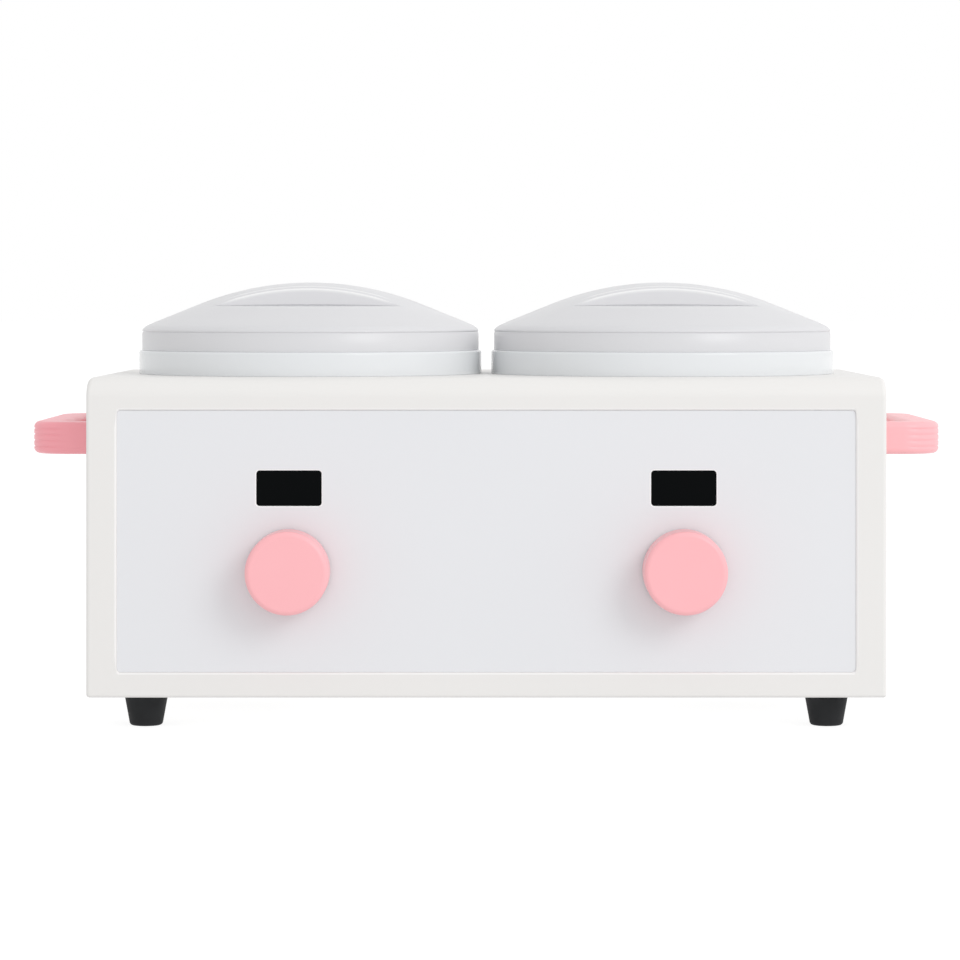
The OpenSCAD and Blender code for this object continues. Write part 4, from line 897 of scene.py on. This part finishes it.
# %% Turn the feet
foot_low, foot_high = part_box("front_right_foot")
foot_len = (foot_high.z - foot_low.z) / MM
FOOT_TOP_R = (foot_high.x - foot_low.x) / 2 / MM
FOOT_BOTTOM_R, FOOT_EDGE_R = 8.3, 1.8
FOOT_BORE_R, FOOT_HOLE_R, FOOT_BORE, BORE_RIM = 4.3, 2.25, 12.6, 0.4
foot_section = arc((FOOT_BORE_R + BORE_RIM, BORE_RIM), BORE_RIM, 180, 270, 3)
foot_section += arc((FOOT_BOTTOM_R - FOOT_EDGE_R, FOOT_EDGE_R), FOOT_EDGE_R, -90, 0, 8)
foot_section += [(FOOT_TOP_R, foot_len), (FOOT_HOLE_R, foot_len), (FOOT_HOLE_R, FOOT_BORE)]
foot_section += [(FOOT_BORE_R, FOOT_BORE), (FOOT_BORE_R, BORE_RIM)]
foot_place = middle("front_right_foot")
foot_place.z = foot_low.z
first_foot = turn("rubber_foot_front_right", foot_section, foot_place, steps=96)
smooth(first_foot, 40)
for end, y in (("front", foot_place.y), ("rear", 2 * MID_Y - foot_place.y)):
    for hand, side in SIDES.items():
        foot = first_foot
        if (end, hand) != ("front", "right"):
            shift = ((side - 1) * foot_place.x, y - foot_place.y, 0)
            foot = copy_over(first_foot, f"rubber_foot_{end}_{hand}", shift)
        hand_over(foot, "base", "rubber_black", f"{end}_{hand}_foot")

# %% [markdown]
# ## Handles
# Each handle is a bar bent into a flat D. A rounded section is drawn where the bar meets the
# side wall, and is then pulled and spun along the bar's route, as if the bar were being bent.
# Four shallow grip grooves start in the bends and run along the outside.

# %% Draw the bar's section
HANDLE_BAR, HANDLE_EDGE, HANDLE_CORNER = 15.5 * MM, 3 * MM, 20 * MM
GROOVE_PITCH, GROOVE_W, GROOVE_FLOOR, GROOVE_DEPTH = 2.95 * MM, 1.3 * MM, 0.3 * MM, 0.4 * MM
GROOVES, GROOVE_FADE = 4, 9 * MM
handle_low, handle_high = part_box("right_handle")
handle_mid_z = (handle_low.z + handle_high.z) / 2
handle_h = handle_high.z - handle_low.z
bend_x = handle_high.x - HANDLE_CORNER
bend_y = (handle_high.y - handle_low.y) / 2 - HANDLE_CORNER
leg_y = MID_Y - (handle_high.y - handle_low.y) / 2 + HANDLE_BAR / 2
groove_z = [handle_mid_z + (row - (GROOVES - 1) / 2) * GROOVE_PITCH for row in range(GROOVES)]

clear()
bpy.ops.mesh.primitive_plane_add(
    size=1, location=(HALF_W, leg_y, handle_mid_z), rotation=(0, math.pi / 2, 0))
right_handle = bpy.context.active_object
right_handle.scale = (handle_h, HANDLE_BAR, 1)
right_handle.name = right_handle.data.name = "pink_handle_right"
settle()
edit(right_handle)
pick_all()
round_off(HANDLE_EDGE, 7, affect="VERTICES")
for z in groove_z:
    for level in (-GROOVE_W / 2, -GROOVE_FLOOR / 2, GROOVE_FLOOR / 2, GROOVE_W / 2):
        pick_all()
        bpy.ops.mesh.bisect(plane_co=(HALF_W, leg_y, z + level), plane_no=(0, 0, 1))

# %% Pull and bend the bar
BEND_STEPS = 20


def bend(y):
    bpy.ops.mesh.spin(
        steps=BEND_STEPS, angle=math.pi / 2, center=(bend_x, y, handle_mid_z), axis=(0, 0, -1))


bpy.ops.mesh.select_mode(type="FACE")
pick_all()
pull(bend_x - HALF_W, 0)
bend(MID_Y - bend_y)
pull(0, 2 * bend_y)
bend(MID_Y + bend_y)
pull(HALF_W - bend_x, 0)
pick_all()
bpy.ops.mesh.normals_make_consistent(inside=False)
clear()


# %% Press the grip grooves
def outward_of(corner):
    """Which way is out at a corner, and how far it lies from the middle of its bend."""
    past = max(abs(corner.y - MID_Y) - bend_y, 0)
    away = Vector((max(corner.x - bend_x, 0), math.copysign(past, corner.y - MID_Y), 0))
    return away.normalized(), away.length


pressed = 0
for corner in right_handle.data.vertices:
    in_groove = any(abs(corner.co.z - z) < GROOVE_FLOOR for z in groove_z)
    outward, distance = outward_of(corner.co)
    if in_groove and near(distance, HANDLE_CORNER):
        corner.co -= outward * GROOVE_DEPTH * ease((corner.co.x - bend_x) / GROOVE_FADE)
        pressed += 1
print("grooves:", len(groove_z), "with", pressed, "corners pressed in")
smooth(right_handle, 50)
left_handle = copy_over(right_handle, "pink_handle_left", (0, 0, 0))
edit(left_handle)
pick_all()
bpy.ops.transform.mirror(constraint_axis=(True, False, False), center_override=(0, 0, 0))
bpy.ops.mesh.normals_make_consistent(inside=False)
clear()
hand_over(right_handle, "base", "pink_plastic", "right_handle")
# The left handle takes the painted-shade pink.
hand_over(left_handle, "base", "pink_plastic", "left_handle", shade="painted_shade_pink_plastic")

# %% [markdown]
# ## Housing
# The housing is one deep moulding, open underneath. A block is cut back in front to leave a frame
# and a ledge for the panel, its bottom is taken away, and only then does it get its wall. The
# edges are rounded last, each by its own radius, and the holes are cut through.

# %% Block out the housing
WALL = 3 * MM
RECESS = 3 * MM
SIDE_MARGIN, TOP_MARGIN, BOTTOM_MARGIN = 15 * MM, 16 * MM, 12.4 * MM
LEDGE = 8 * MM
PANEL_CORNER = 1.8 * MM
LARGE_FACE = HALF_W * 0.1
housing = add_block("white_housing", (-HALF_W, FRONT, BASE), (HALF_W, REAR, TOP))
edit(housing)


def in_front(face):
    return face.normal.y < -0.9


def between_sides(face):
    return in_front(face) and near(spot(face).x, 0)


for side in SIDES.values():
    pick(housing, "FACE", in_front)
    bpy.ops.mesh.bisect(plane_co=(side * (HALF_W - SIDE_MARGIN), 0, 0), plane_no=(1, 0, 0))
for z in (BASE + BOTTOM_MARGIN, TOP - TOP_MARGIN):
    pick(housing, "FACE", between_sides)
    bpy.ops.mesh.bisect(plane_co=(0, 0, z), plane_no=(0, 0, 1))
pick(housing, "FACE", lambda face: between_sides(face) and face.calc_area() > LARGE_FACE)
pull(0, RECESS)
bpy.ops.mesh.inset(thickness=LEDGE)
bpy.ops.mesh.delete(type="FACE")
pick(housing, "EDGE", lambda edge: runs_along(edge, 1) and near(spot(edge).y, FRONT + RECESS / 2))
round_off(PANEL_CORNER, 6)
pick(housing, "FACE", lambda face: face.normal.z < -0.9 and near(spot(face).z, BASE))
bpy.ops.mesh.delete(type="FACE")
clear()
modify(housing, "SOLIDIFY", thickness=WALL, offset=-1, use_even_offset=True)
print("housing blocked out:", len(housing.data.polygons), "faces")

# %% Round the housing's edges
FRONT_TOP_R, SIDE_TOP_R, EDGE_R, RIM_R = 10 * MM, 3.5 * MM, 1.6 * MM, 1.2 * MM
edit(housing)
pick(housing, "EDGE", lambda edge: near(spot(edge).y, FRONT) and near(spot(edge).z, TOP))
round_off(FRONT_TOP_R, 14)
pick(housing, "EDGE", lambda edge: runs_along(edge, 0)
     and near(spot(edge).y, FRONT + WALL) and near(spot(edge).z, TOP - WALL))
round_off(FRONT_TOP_R - WALL, 8)


def on_rim(edge):
    """An edge between the front frame and the wall of the recess."""
    facing = [in_front(face) for face in edge.link_faces]
    return near(spot(edge).y, FRONT) and any(facing) and not all(facing) and \
        abs(spot(edge).x) < HALF_W - SIDE_MARGIN / 2 and \
        BASE + BOTTOM_MARGIN / 2 < spot(edge).z < TOP - TOP_MARGIN + RIM_R


print("rim edges:", pick(housing, "EDGE", on_rim))
round_off(RIM_R, 5)
clear()

# %% Round the outside
BEVEL_WEIGHT = "bevel_weight_edge"


def outside_radius(edge):
    """The radius that an outside edge of the housing gets, or nought for any other edge."""
    place = spot(edge)
    normals = [face.normal for face in edge.link_faces]
    on_side = near(abs(place.x), HALF_W)
    if on_side and sum(abs(normal.x) > 0.99 for normal in normals) == 1:
        rise = (place.z - (TOP - FRONT_TOP_R)) / FRONT_TOP_R
        share = 0 if near(place.y, REAR) else min(max(rise, 0), 1)
        return EDGE_R + (SIDE_TOP_R - EDGE_R) * share ** 2
    planes = ((place.y, FRONT), (place.y, REAR), (place.z, BASE), (place.z, TOP))
    on_planes = sum(near(level, plane) for level, plane in planes)
    return EDGE_R if on_planes == 2 and runs_along(edge, 0) else 0


edit(housing)
mesh = bmesh.from_edit_mesh(housing.data)
weight = mesh.edges.layers.float.get(BEVEL_WEIGHT) or mesh.edges.layers.float.new(BEVEL_WEIGHT)
rounded = 0
for edge in mesh.edges:
    edge[weight] = outside_radius(edge) / SIDE_TOP_R
    rounded += edge[weight] > 0
bmesh.update_edit_mesh(housing.data)
clear()
modify(housing, "BEVEL", limit_method="WEIGHT", width=SIDE_TOP_R, segments=6,
       use_clamp_overlap=False)
print("outside edges rounded:", rounded, "faces now", len(housing.data.polygons))

# %% Cut the housing's holes
WELL_HOLE_R = 66.15
VENT_W, VENT_LEN, VENT_PITCH, VENT_COUNT = 2.4 * MM, 26 * MM, 7 * MM, 12
VENT_ROUNDNESS, VENT_RIM = 0.98, 0.3 * MM
VENT_Z = (BASE + TOP) / 2


def disc(radius, half=10):
    """The section of a flat disc that cuts a round hole, in millimetres."""
    return [(0, -half), (radius, -half), (radius, half), (0, half)]


for side in SIDES.values():
    cut(housing, turn("well_hole", disc(WELL_HOLE_R), (side * POT_X, MID_Y, TOP)))
for count in range(VENT_COUNT):
    x = (count - (VENT_COUNT - 1) / 2) * VENT_PITCH
    low = (x - VENT_W / 2, REAR - 2 * WALL, VENT_Z - VENT_LEN / 2)
    high = (x + VENT_W / 2, REAR + WALL, VENT_Z + VENT_LEN / 2)
    cut(housing, add_rounded("vent", low, high, VENT_W / 2 * VENT_ROUNDNESS, 5))
print("vents:", VENT_COUNT)

# %% Cut the rear holes and soften the vents
REAR_HOLE_R = 0.5 * MM


def cut_rear(node, lap_x, lap_z):
    """Cuts a hole in the rear wall for a node, with its flange lapping over on all sides."""
    low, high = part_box(node)
    low = (low.x + lap_x, REAR - 2 * WALL, low.z + lap_z)
    high = (high.x - lap_x, REAR + WALL, high.z - lap_z)
    cut(housing, add_rounded("rear_hole", low, high, REAR_HOLE_R, 3))


def all_on(edge, y):
    """Whether both ends of an edge lie at one place along y."""
    return all(near(corner.co.y, y) for corner in edge.verts)


def on_vent(edge):
    """An edge of a vent on the rear face."""
    place = spot(edge)
    by_vents = abs(place.x) < VENT_COUNT * VENT_PITCH / 2 and \
        abs(place.z - VENT_Z) < VENT_LEN / 2 + VENT_RIM
    return by_vents and all_on(edge, REAR) and \
        any(face.normal.y < 0.9 for face in edge.link_faces)


cut_rear("power_inlet", 10.9 * MM, 1.9 * MM)
cut_rear("switch_frame", 0.8 * MM, 0.8 * MM)
edit(housing)
rims = pick(housing, "EDGE", on_vent)
round_off(VENT_RIM, 2)
clear()
print("vent rims softened:", rims)


# %% Mark the painted highlight on the rim
def mark_painted_highlight(piece, test):
    """Marks the faces that pass a test for a painted highlight."""
    marks = piece.data.attributes.new(HIGHLIGHT_VALUE, "FLOAT", "FACE").data
    for face in piece.data.polygons:
        marks[face.index].value = float(test(face))


def on_round_rim(face):
    """A face of the rounded rim where the front frame drops to the panel."""
    across, up = abs(face.center.x), face.center.z
    return face.normal.y > -0.99 and FRONT < face.center.y < FRONT + RIM_R \
        and across < HALF_W - SIDE_MARGIN + RIM_R \
        and BASE + BOTTOM_MARGIN - RIM_R < up < TOP - TOP_MARGIN + RIM_R


# The rounded rim round the panel gets a painted highlight, a paler white than the housing.
mark_painted_highlight(housing, on_round_rim)
smooth(housing, 35, flat_faces=True)
hand_over(housing, "base", "housing_white", "housing_shell")

# %% [markdown]
# ## Front panel
# The panel is a flat moulding that drops into the frame. Its windows have a small chamfer, with a
# painted highlight on it that shows as a fine light line round each dark display. Studs and posts
# stand on its hidden back.

# %% Make the front panel
PANEL_T = 2 * MM
WINDOW_CHAMFER = 0.6 * MM
PANEL_SNUG = 0.17 * MM
CONTROL_X = middle("right_knob").x
panel_low, panel_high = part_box("front_panel")
window_low, window_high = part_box("right_display_window")
LENS_FLANGE = 1.5 * MM
PLATE_GAP = 0.2 * MM
WINDOW_CORNER = 1.4 * MM
BUSH_HOLE_R = 4.75
panel = add_rounded(
    "white_front_panel", (panel_low.x - PANEL_SNUG, PANEL_FACE, panel_low.z - PANEL_SNUG),
    (panel_high.x + PANEL_SNUG, PANEL_FACE + PANEL_T, panel_high.z + PANEL_SNUG), PANEL_CORNER, 6)
for side in SIDES.values():
    x = side * (window_low.x + window_high.x) / 2
    half_w = (window_high.x - window_low.x) / 2 - LENS_FLANGE + PLATE_GAP
    trim = LENS_FLANGE - PLATE_GAP
    low = (x - half_w, PANEL_FACE - PANEL_T, window_low.z + trim)
    high = (x + half_w, PANEL_FACE + 2 * PANEL_T, window_high.z - trim)
    window = add_rounded("window_hole", low, high, WINDOW_CORNER + PLATE_GAP, 7)
    place = (side * CONTROL_X, PANEL_FACE, knob_place.z)
    bush = turn("bush_hole", disc(BUSH_HOLE_R), place, along=(0, -1, 0), steps=48)
    cut(panel, window, bush)
edit(panel)
edges = pick(panel, "EDGE", lambda edge: all_on(edge, PANEL_FACE)
             and not all(in_front(face) for face in edge.link_faces)
             and abs(spot(edge).x) < HALF_W - SIDE_MARGIN - PANEL_T)
round_off(WINDOW_CHAMFER, 3)
clear()
# The chamfers round the openings get a painted highlight of pure white.
mark_painted_highlight(panel, lambda face: -0.99 < face.normal.y < -0.05
           and face.center.y < PANEL_FACE + PANEL_T / 2)
print("panel openings softened along", edges, "edges")

# %% Studs and posts on the panel's back
STUD_R, STUD_LEN = 1.5 * MM, 8.4 * MM
POST_R, POST_LEN = 3.2 * MM, 6.5 * MM
PEG_EDGE, PEG_SINK = 0.3 * MM, 0.01 * MM
STUD_X, STUD_Z = 176 * MM, 59.8 * MM
BOARD_HOLE_X, BOARD_HOLE_Z, BOARD_MID_Z = 28.8 * MM, 32.8 * MM, BASE + 82 * MM
panel_mid_z = (panel_low.z + panel_high.z) / 2
panel_back = PANEL_FACE + PANEL_T


def add_peg(x, z, radius, length):
    """A round peg on the panel's back, with its rim softened."""
    clear()
    bpy.ops.mesh.primitive_cylinder_add(
        vertices=24, radius=radius, depth=length,
        location=(x, panel_back + length / 2 - PEG_SINK, z), rotation=(math.pi / 2, 0, 0))
    peg = bpy.context.active_object
    settle()
    modify(peg, "BEVEL", width=PEG_EDGE, segments=2, limit_method="ANGLE", angle_limit=1)
    return peg


pegs = [add_peg(x, panel_mid_z + z, STUD_R, STUD_LEN)
        for x in (-STUD_X, -STUD_X / 3, STUD_X / 3, STUD_X) for z in (-STUD_Z, STUD_Z)]
pegs += [add_peg(side * CONTROL_X + x, BOARD_MID_Z + z, POST_R, POST_LEN)
         for side in SIDES.values() for x in (-BOARD_HOLE_X, BOARD_HOLE_X)
         for z in (-BOARD_HOLE_Z, BOARD_HOLE_Z)]
take(panel)
for peg in pegs:
    peg.select_set(True)
bpy.ops.object.join()
smooth(panel, 35, flat_faces=True)
hand_over(panel, "base", "panel_white", "front_panel")
print("pegs on the panel's back:", len(pegs))

# %% [markdown]
# ## Display windows
# Each window is a smoked plastic block with a hidden flange that stops it from falling out. It is
# pulled forward out of its flange, flush with the panel, and its rim gets a fine soft edge.

# %% Make the display windows
FLANGE_T = 1.2 * MM
WINDOW_EDGE = 0.25 * MM
right_window = add_block(
    "display_window_right", (window_low.x, panel_back, window_low.z),
    (window_high.x, panel_back + FLANGE_T, window_high.z))
edit(right_window)
pick(right_window, "FACE", in_front)
bpy.ops.mesh.inset(thickness=LENS_FLANGE)
pull(0, -PANEL_T)
pick(right_window, "EDGE", lambda edge: runs_along(edge, 1))
round_off(WINDOW_CORNER, 7)
pick(right_window, "EDGE", lambda edge: all_on(edge, PANEL_FACE))
round_off(WINDOW_EDGE, 3)
clear()
smooth(right_window, 35, flat_faces=True)
hand_over_pair(
    right_window, "base", "display_black", "right_display_window", window_low.x + window_high.x)
